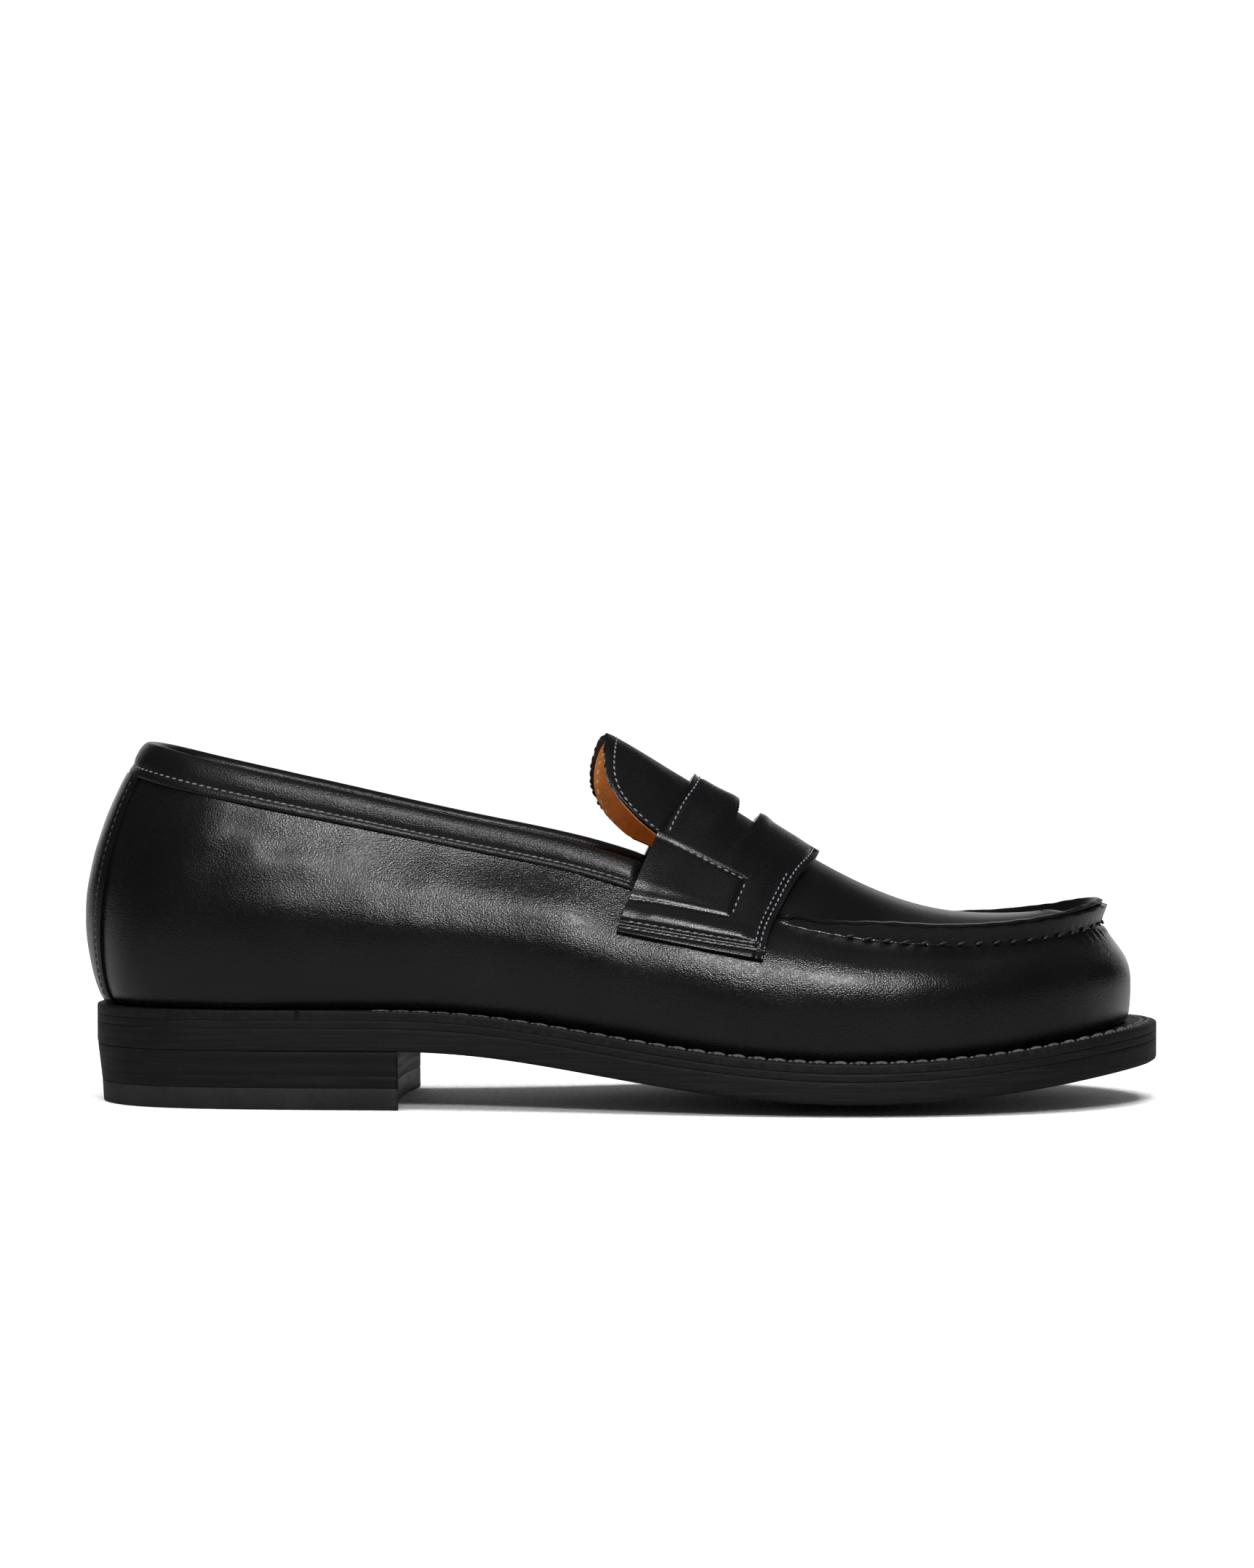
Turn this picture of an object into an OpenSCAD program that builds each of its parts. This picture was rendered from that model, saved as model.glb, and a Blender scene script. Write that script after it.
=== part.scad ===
// Penny loafer, right foot, built up the way a welted shoe is made.
// All sizes in mm. +X is the toe, +Z is up, -Y is the outer side of the foot.
// The origin is on the ground, in the middle of the shoe's length and width.

/* [Overall] */
// Length from the back of the upper to the front of the sole edge
shoe_length = 296.4; // [250:0.1:330]
// Which sub-part is drawn

/* [Leather] */
// Thickness of the side wall, apron and tongue leather
leather = 1.6; // [1:0.1:2.4]
// Thickness of the lining leather
lining = 1; // [0.6:0.1:1.5]
// Thickness of the saddle strap
strap_leather = 1.8; // [1.2:0.1:2.6]
// Thickness of the heel counter and toe puff at their middle
stiffener = 1.1; // [0.6:0.1:2]
// Thickness of the back strip
strip_leather = 1.15; // [0.8:0.05:1.8]
// Thickness of the tongue lining
tongue_skin = 0.8; // [0.5:0.1:1.2]
// Air left between two layers of leather
ply_gap = 0.1; // [0.05:0.05:0.3]
// Air left between the strap and the leather under it
strap_gap = 0.25; // [0.1:0.05:0.5]

/* [Apron seam] */
// Height of the raised seam where it leaves the strap
lip_rear = 4.2; // [1:0.1:5]
// Height of the raised seam at the toe
lip_toe = 5.2; // [1:0.1:6]
// Half the thickness of the raised seam
lip_half = 1.55; // [1:0.05:2.5]

/* [Collar] */
// Width of the collar band outside the shoe
collar_out = 9; // [5:0.5:14]
// Width of the collar band inside the shoe
collar_in = 5; // [3:0.5:10]
// Distance of the collar stitches from the topline
collar_stitch = 6.8; // [3:0.1:9]

/* [Sole] */
// Thickness of the leather outsole
outsole_thick = 6.1; // [4:0.1:8]
// Thickness of the midsole
midsole_thick = 2.15; // [1:0.05:4]
// Thickness of the welt
welt_thick = 2.6; // [2:0.1:4]
// Air left between two layers of the sole
sole_gap = 0.05; // [0:0.01:0.2]
// Thickness of the insole
insole_thick = 3.2; // [2:0.1:5]
// Thickness of the sock lining
sock_thick = 1.2; // [0.6:0.1:2]
// Depth of the sole's belly across the ball of the foot
belly = 3.1; // [0:0.1:5]

/* [Heel] */
// Thickness of the rubber top lift
top_lift_thick = 6; // [4:0.1:8]
// How far the top lift is set in from the sole edge
heel_taper = 1.5; // [0:0.1:4]
// Radius of a heel nail
nail_radius = 0.9; // [0.6:0.05:1.2]
// Depth of the nail ends inside the top lift
nail_sink = 1.2; // [0.5:0.1:3]

/* [Thread] */
// Half the thickness of the upper thread
thread = 0.28; // [0.15:0.01:0.5]
// Half the thickness of the welt thread
welt_thread = 0.42; // [0.2:0.01:0.8]

/* [Hidden] */
$fn = 24;

// Shape of the last, station by station from the heel round the side to the toe:
// x, y outer side, y inner side, welt width, bulge, bulge height, shoulder inset and height,
// edge inset and height, ridge x and height, sole spine x
stations = [
    [-142, 0, 0, 3.0, 5.2, 24, 0, 78, 12, 100.0, -100, 112, -112],
    [-134, -19, 18, 2.8, 4.8, 24, 0, 77, 10, 98.8, -100, 112, -108],
    [-112, -29, 27, 2.0, 4.2, 22, 0.5, 72, 8, 93.8, -98, 112, -97],
    [-78, -32, 29, 2.5, 4.0, 21, 1.5, 65, 8, 85.4, -72, 112, -72],
    [-42, -34, 29, 3.5, 4.0, 20, 1.8, 58, 9, 74.0, -34, 117.8, -40],
    [-6, -39, 33, 5.0, 3.0, 18, 2.2, 53, 11, 67.6, 12, 93.8, -6],
    [32, -45, 42, 6.0, 2.0, 16, 5.0, 48, 13, 51.4, 50, 69.7, 30],
    [68, -47, 47, 6.0, 1.5, 15, 4.0, 43, 13, 45.5, 80, 55.2, 64],
    [102, -41, 43, 6.2, 1.5, 14, 3.0, 42, 12, 45.0, 103, 52.2, 92],
    [128, -24, 28, 7.4, 1.5, 13, 3.0, 43, 10, 47.8, 114, 52.4, 107],
    [140, 2, 2, 8.4, 1.2, 12, 3.5, 43, 9, 51.0, 116, 52.6, 112]
];
// Height of the upper's feather edge along the shoe
seat_line = [
    [-150, 27.1], [-75, 27.1], [-57, 27.1], [-41, 26.3], [-24, 24.3], [-7, 21.6], [10, 18.9], [26, 16.7],
    [43, 15.0], [60, 14.4], [80, 15.1], [101, 16.8], [124, 19.6], [138, 21.4], [150, 22.2]
];
spine_row = 100;
columns = 20;
grade = shoe_length / 296.4;

// Levels of the layers, measured from the feather edge
welt_top = -0.15;
welt_low = welt_top - welt_thick;
mid_top = welt_low - sole_gap;
mid_low = mid_top - midsole_thick;
out_top = mid_low - sole_gap;
out_low = out_top - outsole_thick;
insole_low = leather + lining + 2 * ply_gap + 0.15;
insole_top = insole_low + insole_thick;
sock_low = insole_top + sole_gap;
lining_out = -leather - ply_gap;
strap_low = strap_gap;
strap_top = strap_gap + strap_leather;
strip_low = 0.15;
strip_top = strip_low + strip_leather;
lift_top = 27.1 * grade + out_low - 0.2;
lift_step = (lift_top - top_lift_thick) / 3;

// Small helpers
function unit(a) = a / norm(a);
function mix(a, b, t) = a * (1 - t) + b * t;
function wrap(k) = k - columns * floor(k / columns);
function clamp(x) = max(0, min(1, x));
function ease(a, b, x) = let (t = clamp((x - a) / (b - a))) t * t * (3 - 2 * t);
function span(a, b, n) = [for (i = [0 : n]) a + (b - a) * i / n];

// A smooth curve through points in x
function slope(p, i) = (p[i + 1].y - p[i].y) / (p[i + 1].x - p[i].x);
function tangent(p, i) = let (n = len(p) - 1)
    i == 0 ? slope(p, 0) : i == n ? slope(p, n - 1) : (slope(p, i - 1) + slope(p, i)) / 2;
function seat_piece(p, x, i) = let (h = p[i + 1].x - p[i].x, t = (x - p[i].x) / h)
    (2 * pow(t, 3) - 3 * t * t + 1) * p[i].y + (pow(t, 3) - 2 * t * t + t) * h * tangent(p, i)
    + (3 * t * t - 2 * pow(t, 3)) * p[i + 1].y + (pow(t, 3) - t * t) * h * tangent(p, i + 1);
function seat_find(p, x, i) = i >= len(p) - 2 || x <= p[i + 1].x ? seat_piece(p, x, i) : seat_find(p, x, i + 1);
function seat(x) = seat_find(seat_line, max(-150, min(150, x)), 0);
function sag(x, y) = belly * ease(-30, 40, x) * (1 - ease(80, 135, x)) * clamp(1 - pow(y / 48, 2));

// Control points of the last
function station(k) = let (w = wrap(k)) stations[w <= 10 ? w : columns - w];
function edge_at(k) = let (s = station(k)) [s[0], wrap(k) > 10 ? s[2] : s[1]];
function inward(k) = let (d = edge_at(k + 1) - edge_at(k - 1)) [-d.y, d.x] / norm(d);
function raised(q, z) = [q.x, q.y, z];
function floor_at(q, level) = [q.x, q.y, seat(q.x) - sag(q.x, q.y) + level];
function plan_at(k, r) = let (s = station(k))
    r == spine_row ? [s[12], 0] : edge_at(k) + inward(k) * (r < 0 ? r * s[3] : r);
function column(k) = let (
    s = station(k),
    p = edge_at(k),
    w = inward(k),
    c = [s[10], 0] - p,
    r = unit(c),
    z = seat(p.x),
    low = floor_at(p + w * 9, 0),
    next = floor_at(p + w * 3, 0),
    crown = raised(p + r * (s[8] + (norm(c) - s[8]) * 0.45), s[11] - 0.22 * (s[11] - s[9])),
    ridge = [s[10], 0, s[11]]
) [
    2 * low - next,
    low,
    next,
    floor_at(p - w * 0.2, -0.3),
    raised(p - w * s[4] * 0.75, z + s[5] * 0.42),
    raised(p - w * s[4] * 1.15, z + s[5] + 4),
    raised(p + r * s[6], s[7]),
    raised(p + r * s[8], s[9]),
    crown,
    ridge,
    [2 * ridge.x - crown.x, 2 * ridge.y - crown.y, crown.z]
];
function sharper(c, k) = c[k] - (c[wrap(k - 1)] - 2 * c[k] + c[wrap(k + 1)]) / 5;
raw_net = [for (k = [0 : columns - 1]) column(k)];
net = [for (k = [0 : columns - 1]) grade * sharper(raw_net, k)];

// The last's surface: u runs round the shoe, v runs up from under the insole to the ridge
function weights(t) = [pow(1 - t, 3), 3 * pow(t, 3) - 6 * t * t + 4, 1 + 3 * t + 3 * t * t - 3 * pow(t, 3), pow(t, 3)] / 6;
function rates(t) = [-(1 - t) * (1 - t), 3 * t * t - 4 * t, 1 + 2 * t - 3 * t * t, t * t] / 2;
function blend(iu, iv, bu, bv) = bu * [
    for (m = [0 : 3]) let (c = net[wrap(iu - 1 + m)]) bv * [c[iv], c[iv + 1], c[iv + 2], c[iv + 3]]
];
function jet(u, v) = let (
    iu = floor(u),
    iv = max(0, min(7, floor(v))),
    bu = weights(u - iu),
    bv = weights(v - iv)
) [blend(iu, iv, bu, bv), blend(iu, iv, rates(u - iu), bv), blend(iu, iv, bu, rates(v - iv))];
function side_normal(u, v) = let (j = jet(u, v)) unit(cross(j[1], j[2]));
function normal_at(u, v) = v > 7.95 ? unit(side_normal(u, 7.9) + side_normal(columns - u, 7.9)) : side_normal(u, v);
function skin(u, v, d) = jet(u, v)[0] + normal_at(u, v) * d;

// Places near the edge line: a is mm up the leather past the edge, d is mm off the surface
function seam(u, a, d) = let (
    j = jet(u, 6),
    n = unit(cross(j[1], j[2])),
    t = cross(n, unit(j[1]))
) j[0] + t * a + n * d;
function edge_v(u, a) = let (j = jet(u, 6), n = unit(cross(j[1], j[2])), t = cross(n, unit(j[1]))) 6 + a / (j[2] * t);

// Sole rings: r below 0 is a share of the welt width, r above 0 is mm inwards
function ring_line(r) = let (c = [for (k = [0 : columns - 1]) floor_at(plan_at(k, r), 0)])
    [for (k = [0 : columns - 1]) grade * sharper(c, k)];
function on_line(l, u) = let (i = floor(u))
    weights(u - i) * [for (m = [0 : 3]) l[wrap(i - 1 + m)]];
function slab(us, rows, level) = let (lines = [for (r = rows) ring_line(r)])
    [for (u = us) [for (l = lines) on_line(l, u) + [0, 0, level]]];

// Solid sheet between an outer and an inner grid of points
module shell(outer, inner, closed = false, fold = false, gap = [0, 0, 0, 0]) {
    n = len(outer);
    m = len(outer[0]);
    w = fold ? m - 1 : m;
    half = closed ? n / 2 : (n - 1) / 2;
    total = n * w + (fold ? half + 1 : 0);
    last_i = closed ? n - 1 : n - 2;
    function flat(g) = concat(
        [for (i = [0 : n - 1], j = [0 : w - 1]) g[i][j]],
        fold ? [for (i = [0 : half]) g[i][m - 1]] : []
    );
    function turn(i) = closed ? min(i % n, n - i % n) : min(i, n - 1 - i);
    function id(i, j) = fold && j == m - 1 ? n * w + turn(i) : (i % n) * w + j;
    function kept(i, j) = !(i >= gap[0] && i < gap[1] && j >= gap[2] && j < gap[3]);
    function wall(a, b) = [[a, b, b + total], [a, b + total, a + total]];
    faces = [
        for (i = [0 : last_i], j = [0 : m - 2]) if (kept(i, j))
            let (a = id(i, j), b = id(i + 1, j), c = id(i + 1, j + 1), d = id(i, j + 1))
            each [[a, d, c], [a, c, b], [a + total, c + total, d + total], [a + total, b + total, c + total]],
        for (i = [0 : last_i]) each wall(id(i, 0), id(i + 1, 0)),
        if (!fold) for (i = [0 : last_i]) each wall(id(i + 1, m - 1), id(i, m - 1)),
        if (!closed) for (j = [0 : m - 2]) each concat(
            wall(id(0, j + 1), id(0, j)),
            wall(id(n - 1, j), id(n - 1, j + 1))
        ),
        if (gap[1] > gap[0]) for (i = [gap[0] : gap[1] - 1]) each concat(
            wall(id(i + 1, gap[2]), id(i, gap[2])),
            wall(id(i, gap[3]), id(i + 1, gap[3]))
        ),
        if (gap[1] > gap[0]) for (j = [gap[2] : gap[3] - 1]) each concat(
            wall(id(gap[0], j), id(gap[0], j + 1)),
            wall(id(gap[1], j + 1), id(gap[1], j))
        )
    ];
    polyhedron(points = concat(flat(outer), flat(inner)), faces = faces);
}

// Thread laid along a list of [point, normal]
module cord(path, r) {
    n = len(path);
    function way(i) = unit(path[min(n - 1, i + 1)][0] - path[max(0, i - 1)][0]);
    points = [
        for (i = [0 : n - 1]) let (p = path[i][0], a = path[i][1], s = unit(cross(a, way(i))))
            each [p + a * r, p + s * r, p - a * r, p - s * r]
    ];
    sides = [
        for (i = [0 : n - 2], k = [0 : 3]) let (a = 4 * i + k, b = 4 * i + (k + 1) % 4)
            each [[a, b, b + 4], [a, b + 4, a + 4]]
    ];
    e = 4 * (n - 1);
    polyhedron(
        points = points,
        faces = concat(sides, [[2, 1, 0], [3, 2, 0], [e, e + 1, e + 2], [e, e + 2, e + 3]])
    );
}
function skin_path(list, d) = [for (q = list) [skin(q.x, q.y, d), normal_at(q.x, q.y)]];

// Where each piece lies on the last
low_rows = [0, 1, 1.6, 2, 2.4, 3, 3.6, 4.2, 4.8, 5.3];
pad_rows = [1.6, 2, 2.4, 3, 3.6, 4.2, 4.8];
rear_us = concat([-5.12], span(-5, 5, 40), [5.12]);
front_us = span(5.25, 14.75, 38);
ring_us = [for (i = [0 : 79]) i / 4];
function lip(u) = let (w = abs(u - 10)) mix(lip_toe, lip_rear, ease(0, 3.6, w)) * (1 - ease(3.3, 3.72, w));
function lip_on(u) = 1 - ease(3.3, 3.72, abs(u - 10));
function near(u) = abs(u - columns * round(u / columns));
function pad(u, v) = stiffener * ease(1, 2, v) * (1 - ease(4.2, 5.4, v))
    * max(1 - ease(2, 3, near(u)), 1 - ease(1.4, 2.2, abs(u - 10)));
function crest(v) = 0.066 * pow(1 - min(1, (8 - v) / 0.71), 2);
function strap_back(v) = 5.1 + 0.046 * (v - 4.45) - crest(v) - 0.03 * ease(6.8, 8, v);
function strap_front(v) = 6.13 + 0.02 * (v - 4.45) - crest(v) - 0.038 * ease(4.6, 6.1, v);
function across(w, reach) = 8 - reach * abs(w);
function strap_uv(a, w) = let (v = across(w, 3.55), u = mix(strap_back(v), strap_front(v), a)) [w > 0 ? columns - u : u, v];
function tongue_front(v) = strap_back(v) - 0.02;
function tongue_cut(w) = w > 0
    ? 4.655 + 0.03 * w + 0.37 * pow(w, 8)
    : 4.655 - 0.2 * w + 1.8 * pow(w, 8);
function tongue_back(w, v) = min(tongue_cut(w), tongue_front(v) - 0.04);
function tongue_uv(s, w) = let (v = across(w, 1.75), u = mix(tongue_back(w, v), tongue_front(v), s))
    [w > 0 ? columns - u : u, v];
function cover(uv, d) = skin(uv.x, uv.y, d);

function wall_out(u) = concat(
    [for (v = low_rows) skin(u, v, 0)],
    [
        mix(seam(u, -2.2, 0), seam(u, -lip_half - 0.85, 0), lip_on(u)),
        mix(seam(u, -1, 0), seam(u, -lip_half, 0.7), lip_on(u)),
        mix(seam(u, 0, 0), seam(u, -lip_half, lip(u)), lip_on(u))
    ]
);
function wall_in(u) = concat(
    [for (v = low_rows) skin(u, v, -leather)],
    [
        mix(seam(u, -2.2, -leather), seam(u, -1.4, -leather), lip_on(u)),
        mix(seam(u, -1, -leather), seam(u, -0.1, -0.5), lip_on(u)),
        mix(seam(u, 0, -leather), seam(u, -0.1, lip(u)), lip_on(u))
    ]
);
crown_rows = [6.5, 7, 7.5, 8];
function apron_out(u) = concat(
    [
        mix(seam(u, 0.2, 0), seam(u, lip_half, lip(u)), lip_on(u)),
        mix(seam(u, 1, 0), seam(u, lip_half, 0.7), lip_on(u)),
        mix(seam(u, 2.2, 0), seam(u, lip_half + 0.85, 0), lip_on(u))
    ],
    [for (v = crown_rows) skin(u, v, 0)]
);
function apron_in(u) = concat(
    [
        mix(seam(u, 0.2, -leather), seam(u, 0.1, lip(u)), lip_on(u)),
        mix(seam(u, 1, -leather), seam(u, 0.1, -0.5), lip_on(u)),
        mix(seam(u, 2.2, -leather), seam(u, 1.4, -leather), lip_on(u))
    ],
    [for (v = crown_rows) skin(u, v, -leather)]
);
function collar_outer(u) = [
    skin(u, edge_v(u, -collar_out), 0.8),
    skin(u, edge_v(u, -collar_out + 1), 1.1),
    skin(u, edge_v(u, -4), 1.35),
    skin(u, edge_v(u, -1), 1.4),
    seam(u, 0.7, 1),
    seam(u, 1.1, 0),
    seam(u, 1.1, -leather),
    seam(u, 0.7, -leather - 0.9),
    skin(u, edge_v(u, -1), -leather - 1.25),
    skin(u, edge_v(u, -collar_in), -leather - 1.15)
];
function collar_inner(u) = [
    skin(u, edge_v(u, -collar_out), 0.1),
    skin(u, edge_v(u, -collar_out + 1), 0.1),
    skin(u, edge_v(u, -4), 0.1),
    skin(u, edge_v(u, -1), 0.1),
    seam(u, 0.1, 0.1),
    seam(u, 0.15, -0.3),
    seam(u, 0.15, -leather + 0.3),
    seam(u, 0.1, -leather - 0.1),
    skin(u, edge_v(u, -1), -leather - 0.15),
    skin(u, edge_v(u, -collar_in), -leather - 0.15)
];

// Sole unit
module outsole() {
    rows = [-1, 0, 9, 20, spine_row];
    color([0.05, 0.045, 0.04]) shell(slab(ring_us, rows, out_top), slab(ring_us, rows, out_low), closed = true, fold = true);
}
module midsole() {
    rows = [-1, 0, 9, 20, spine_row];
    color([0.06, 0.05, 0.045]) shell(slab(ring_us, rows, mid_top), slab(ring_us, rows, mid_low), closed = true, fold = true);
}
module welt() {
    rows = [-1, 0, 3, 7];
    us = span(2.75, 17.25, 58);
    color([0.07, 0.06, 0.055]) shell(slab(us, rows, welt_top), slab(us, rows, welt_low));
}
module heel_rand() {
    rows = [-1, 0, 3, 7];
    us = concat([-2.72], span(-2.5, 2.5, 20), [2.72]);
    color([0.06, 0.055, 0.05]) shell(slab(us, rows, welt_top), slab(us, rows, welt_low));
}
module welt_stitching() {
    line = ring_line(-0.55);
    color([0.5, 0.52, 0.55]) cord(
        [for (u = span(2.8, 17.2, 58)) [on_line(line, u) + [0, 0, welt_top + welt_thread + 0.08], [0, 0, 1]]],
        welt_thread
    );
}
module insole() {
    rows = [5.4, 9, 20, spine_row];
    color([0.72, 0.53, 0.34]) shell(slab(ring_us, rows, insole_top), slab(ring_us, rows, insole_low), closed = true, fold = true);
}
module insole_rib() {
    rows = [9.5, 11.5];
    us = span(2.75, 17.25, 58);
    color([0.86, 0.84, 0.76]) shell(slab(us, rows, insole_low - 0.1), slab(us, rows, welt_low + 0.1));
}
module inseam_thread() {
    line = ring_line(8.3);
    color([0.8, 0.76, 0.6]) cord(
        [for (u = span(2.8, 17.2, 58)) [on_line(line, u) + [0, 0, -0.9], [0, 0, 1]]],
        welt_thread
    );
}
module cork_filler() {
    rows = [12.2, 20, spine_row];
    function dip(q, j) = j > 0 && q.x > -90 * grade && q.x < 4 * grade ? 2 : 0;
    flat_top = slab(ring_us, rows, insole_low - 0.1);
    top = [for (r = flat_top) [for (j = [0 : 2]) r[j] - [0, 0, dip(r[j], j)]]];
    color([0.55, 0.4, 0.25]) shell(top, slab(ring_us, rows, welt_low + 0.1), closed = true, fold = true);
}
module shank() {
    xs = span(-82, -4, 13);
    low = insole_low - 1.85;
    profile = concat(
        [for (x = xs) grade * [x, seat(x) - sag(x, 0)] + [0, low]],
        [for (x = xs) let (b = -86 - x) grade * [b, seat(b) - sag(b, 0)] + [0, low + 1.4]]
    );
    color([0.7, 0.71, 0.73]) translate([0, 5, 0]) rotate([90, 0, 0]) linear_extrude(height = 12) polygon(profile);
}
module heel_shape(inset) {
    rear = [for (u = span(-3.58, 3.5, 40)) let (p = on_line(heel_line, u), q = on_line(heel_inner, u))
        [p.x, p.y] + unit([q.x - p.x, q.y - p.y]) * inset];
    a = rear[len(rear) - 1];
    b = rear[0];
    breast = [for (t = [0.2 : 0.2 : 0.8]) mix(a, b, t) - [10 * t * (1 - t), 0]];
    polygon(concat(rear, breast));
}
heel_line = ring_line(-1);
heel_inner = ring_line(9);
nail_line = ring_line(7);
module nail_spots() {
    for (u = [-3 : 0.75 : 3]) let (p = on_line(nail_line, u)) translate([p.x, p.y, 0]) children();
}
module lift(z, h, inset) {
    difference() {
        translate([0, 0, z]) linear_extrude(height = h) heel_shape(inset);
        translate([0, 0, z - 1]) nail_spots() cylinder(h = h + 2, r = nail_radius + 0.1);
    }
}
module heel_lift_upper() {
    color([0.07, 0.06, 0.05]) lift(top_lift_thick + 2 * lift_step + sole_gap, lift_step - sole_gap, heel_taper * 0.25);
}
module heel_lift_middle() {
    color([0.06, 0.055, 0.05]) lift(top_lift_thick + lift_step + sole_gap, lift_step - sole_gap, heel_taper * 0.5);
}
module heel_lift_lower() {
    color([0.07, 0.06, 0.05]) lift(top_lift_thick + sole_gap, lift_step - sole_gap, heel_taper * 0.75);
}
module top_lift() {
    color([0.04, 0.04, 0.045]) lift(0, top_lift_thick, heel_taper);
}
module heel_nails() {
    color([0.72, 0.66, 0.45]) translate([0, 0, nail_sink]) nail_spots() cylinder(h = lift_top - nail_sink - 0.1, r = nail_radius);
}
module sock_lining() {
    rows = [4.9, 9, 20, spine_row];
    color([0.78, 0.55, 0.32])
        shell(slab(ring_us, rows, sock_low + sock_thick), slab(ring_us, rows, sock_low), closed = true, fold = true);
}

// Upper
module side_wall() {
    us = concat([0.01], span(0.25, 19.75, 78), [19.99]);
    color([0.05, 0.05, 0.055]) shell([for (u = us) wall_out(u)], [for (u = us) wall_in(u)]);
}
module apron() {
    color([0.055, 0.055, 0.06]) shell([for (u = front_us) apron_out(u)], [for (u = front_us) apron_in(u)], fold = true);
}
module saddle_strap() {
    as = [0, 0.1, 0.2, 0.32, 0.4, 0.48, 0.61, 0.74, 0.87, 1];
    ws = concat(span(-1, -0.2, 13), [-0.1, 0, 0.1], span(0.2, 1, 13));
    color([0.06, 0.06, 0.065]) shell(
        [for (a = as) [for (w = ws) cover(strap_uv(a, w), strap_top)]],
        [for (a = as) [for (w = ws) cover(strap_uv(a, w), strap_low)]],
        gap = [3, 5, 13, 17]
    );
}
module tongue() {
    ss = span(0, 1, 7);
    ws = span(-1, 1, 18);
    color([0.05, 0.05, 0.055]) shell(
        [for (s = ss) [for (w = ws) cover(tongue_uv(s, w), 0)]],
        [for (s = ss) [for (w = ws) cover(tongue_uv(s, w), -leather)]]
    );
}
module tongue_lining() {
    ss = span(0.02, 1, 7);
    ws = span(-0.99, 0.99, 18);
    color([0.72, 0.38, 0.14]) shell(
        [for (s = ss) [for (w = ws) cover(tongue_uv(s, w), -leather - ply_gap)]],
        [for (s = ss) [for (w = ws) cover(tongue_uv(s, w), -leather - ply_gap - tongue_skin)]]
    );
}
module topline_collar() {
    color([0.055, 0.055, 0.06]) shell([for (u = rear_us) collar_outer(u)], [for (u = rear_us) collar_inner(u)]);
}
module back_strip() {
    us = [-0.66, -0.5, -0.25, 0, 0.25, 0.5, 0.66];
    vs = [2.35, 2.6, 3, 3.6, 4.2, 4.8, 5.15, 5.45];
    color([0.06, 0.06, 0.065]) shell(
        [for (u = us) [for (v = vs) skin(u, v, strip_top)]],
        [for (u = us) [for (v = vs) skin(u, v, strip_low)]]
    );
}
module quarter_lining() {
    function rows(u) = concat(low_rows, [edge_v(u, -collar_in - 0.6)]);
    color([0.1, 0.095, 0.09]) shell(
        [for (u = rear_us) [for (v = rows(u)) skin(u, v, lining_out - ply_gap - pad(u, v))]],
        [for (u = rear_us) [for (v = rows(u)) skin(u, v, lining_out - ply_gap - pad(u, v) - lining)]]
    );
}
module vamp_lining() {
    rows = concat(low_rows, [5.8, 6.5, 7, 7.5, 8]);
    color([0.75, 0.6, 0.42]) shell(
        [for (u = front_us) [for (v = rows) skin(u, v, lining_out - ply_gap - pad(u, v))]],
        [for (u = front_us) [for (v = rows) skin(u, v, lining_out - ply_gap - pad(u, v) - lining)]],
        fold = true
    );
}
module stiff_piece(us) {
    shell(
        [for (u = us) [for (v = pad_rows) skin(u, v, lining_out)]],
        [for (u = us) [for (v = pad_rows) skin(u, v, lining_out - pad(u, v))]]
    );
}
module heel_counter() {
    color([0.6, 0.45, 0.3]) stiff_piece(span(-2.5, 2.5, 20));
}
module toe_puff() {
    color([0.85, 0.83, 0.75]) stiff_piece(span(8.25, 11.75, 14));
}

// Threads of the upper
module apron_seam_thread() {
    color([0.12, 0.12, 0.13]) cord(
        [for (u = span(6.6, 13.4, 54)) let (n = normal_at(u, 6)) [seam(u, -lip_half - 0.65, 0.85), n]],
        thread
    );
}
module strap_row(list) {
    cord(skin_path([for (q = list) strap_uv(q.x, q.y)], strap_top + thread + 0.08), thread);
}
module strap_thread() {
    color([0.35, 0.38, 0.42]) {
        strap_row([for (w = span(-0.86, 0.86, 24)) [0.045, w]]);
        strap_row([for (w = span(-0.86, 0.86, 24)) [0.955, w]]);
        for (s = [-1, 1]) {
            strap_row([for (a = span(0.06, 0.94, 8)) [a, s * 0.9]]);
            strap_row([for (a = span(0.06, 0.94, 8)) [a, s * 0.95]]);
            strap_row([for (a = span(0.1, 0.72, 6)) [a, s * mix(0.55, 0.54, a)]]);
            strap_row([for (a = span(0.1, 0.72, 6)) [a, s * 0.8]]);
            strap_row([for (w = span(0.57, 0.78, 4)) [0.75, s * w]]);
        }
    }
}
module collar_thread() {
    color([0.35, 0.38, 0.42]) cord(
        [for (u = span(-5.1, 5.1, 60)) [skin(u, edge_v(u, -collar_stitch), 1.4 + thread), normal_at(u, 5.7)]],
        thread
    );
}
module tongue_thread() {
    color([0.35, 0.38, 0.42]) cord(
        skin_path([for (w = span(-0.9, 0.9, 24)) tongue_uv(0.14, w)], thread + 0.1),
        thread
    );
}
module back_strip_thread() {
    color([0.2, 0.21, 0.23])
        for (u = [-0.56, 0.56]) cord(skin_path([for (v = span(2.5, 5.35, 12)) [u, v]], strip_top + thread + 0.1), thread);
}

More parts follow.
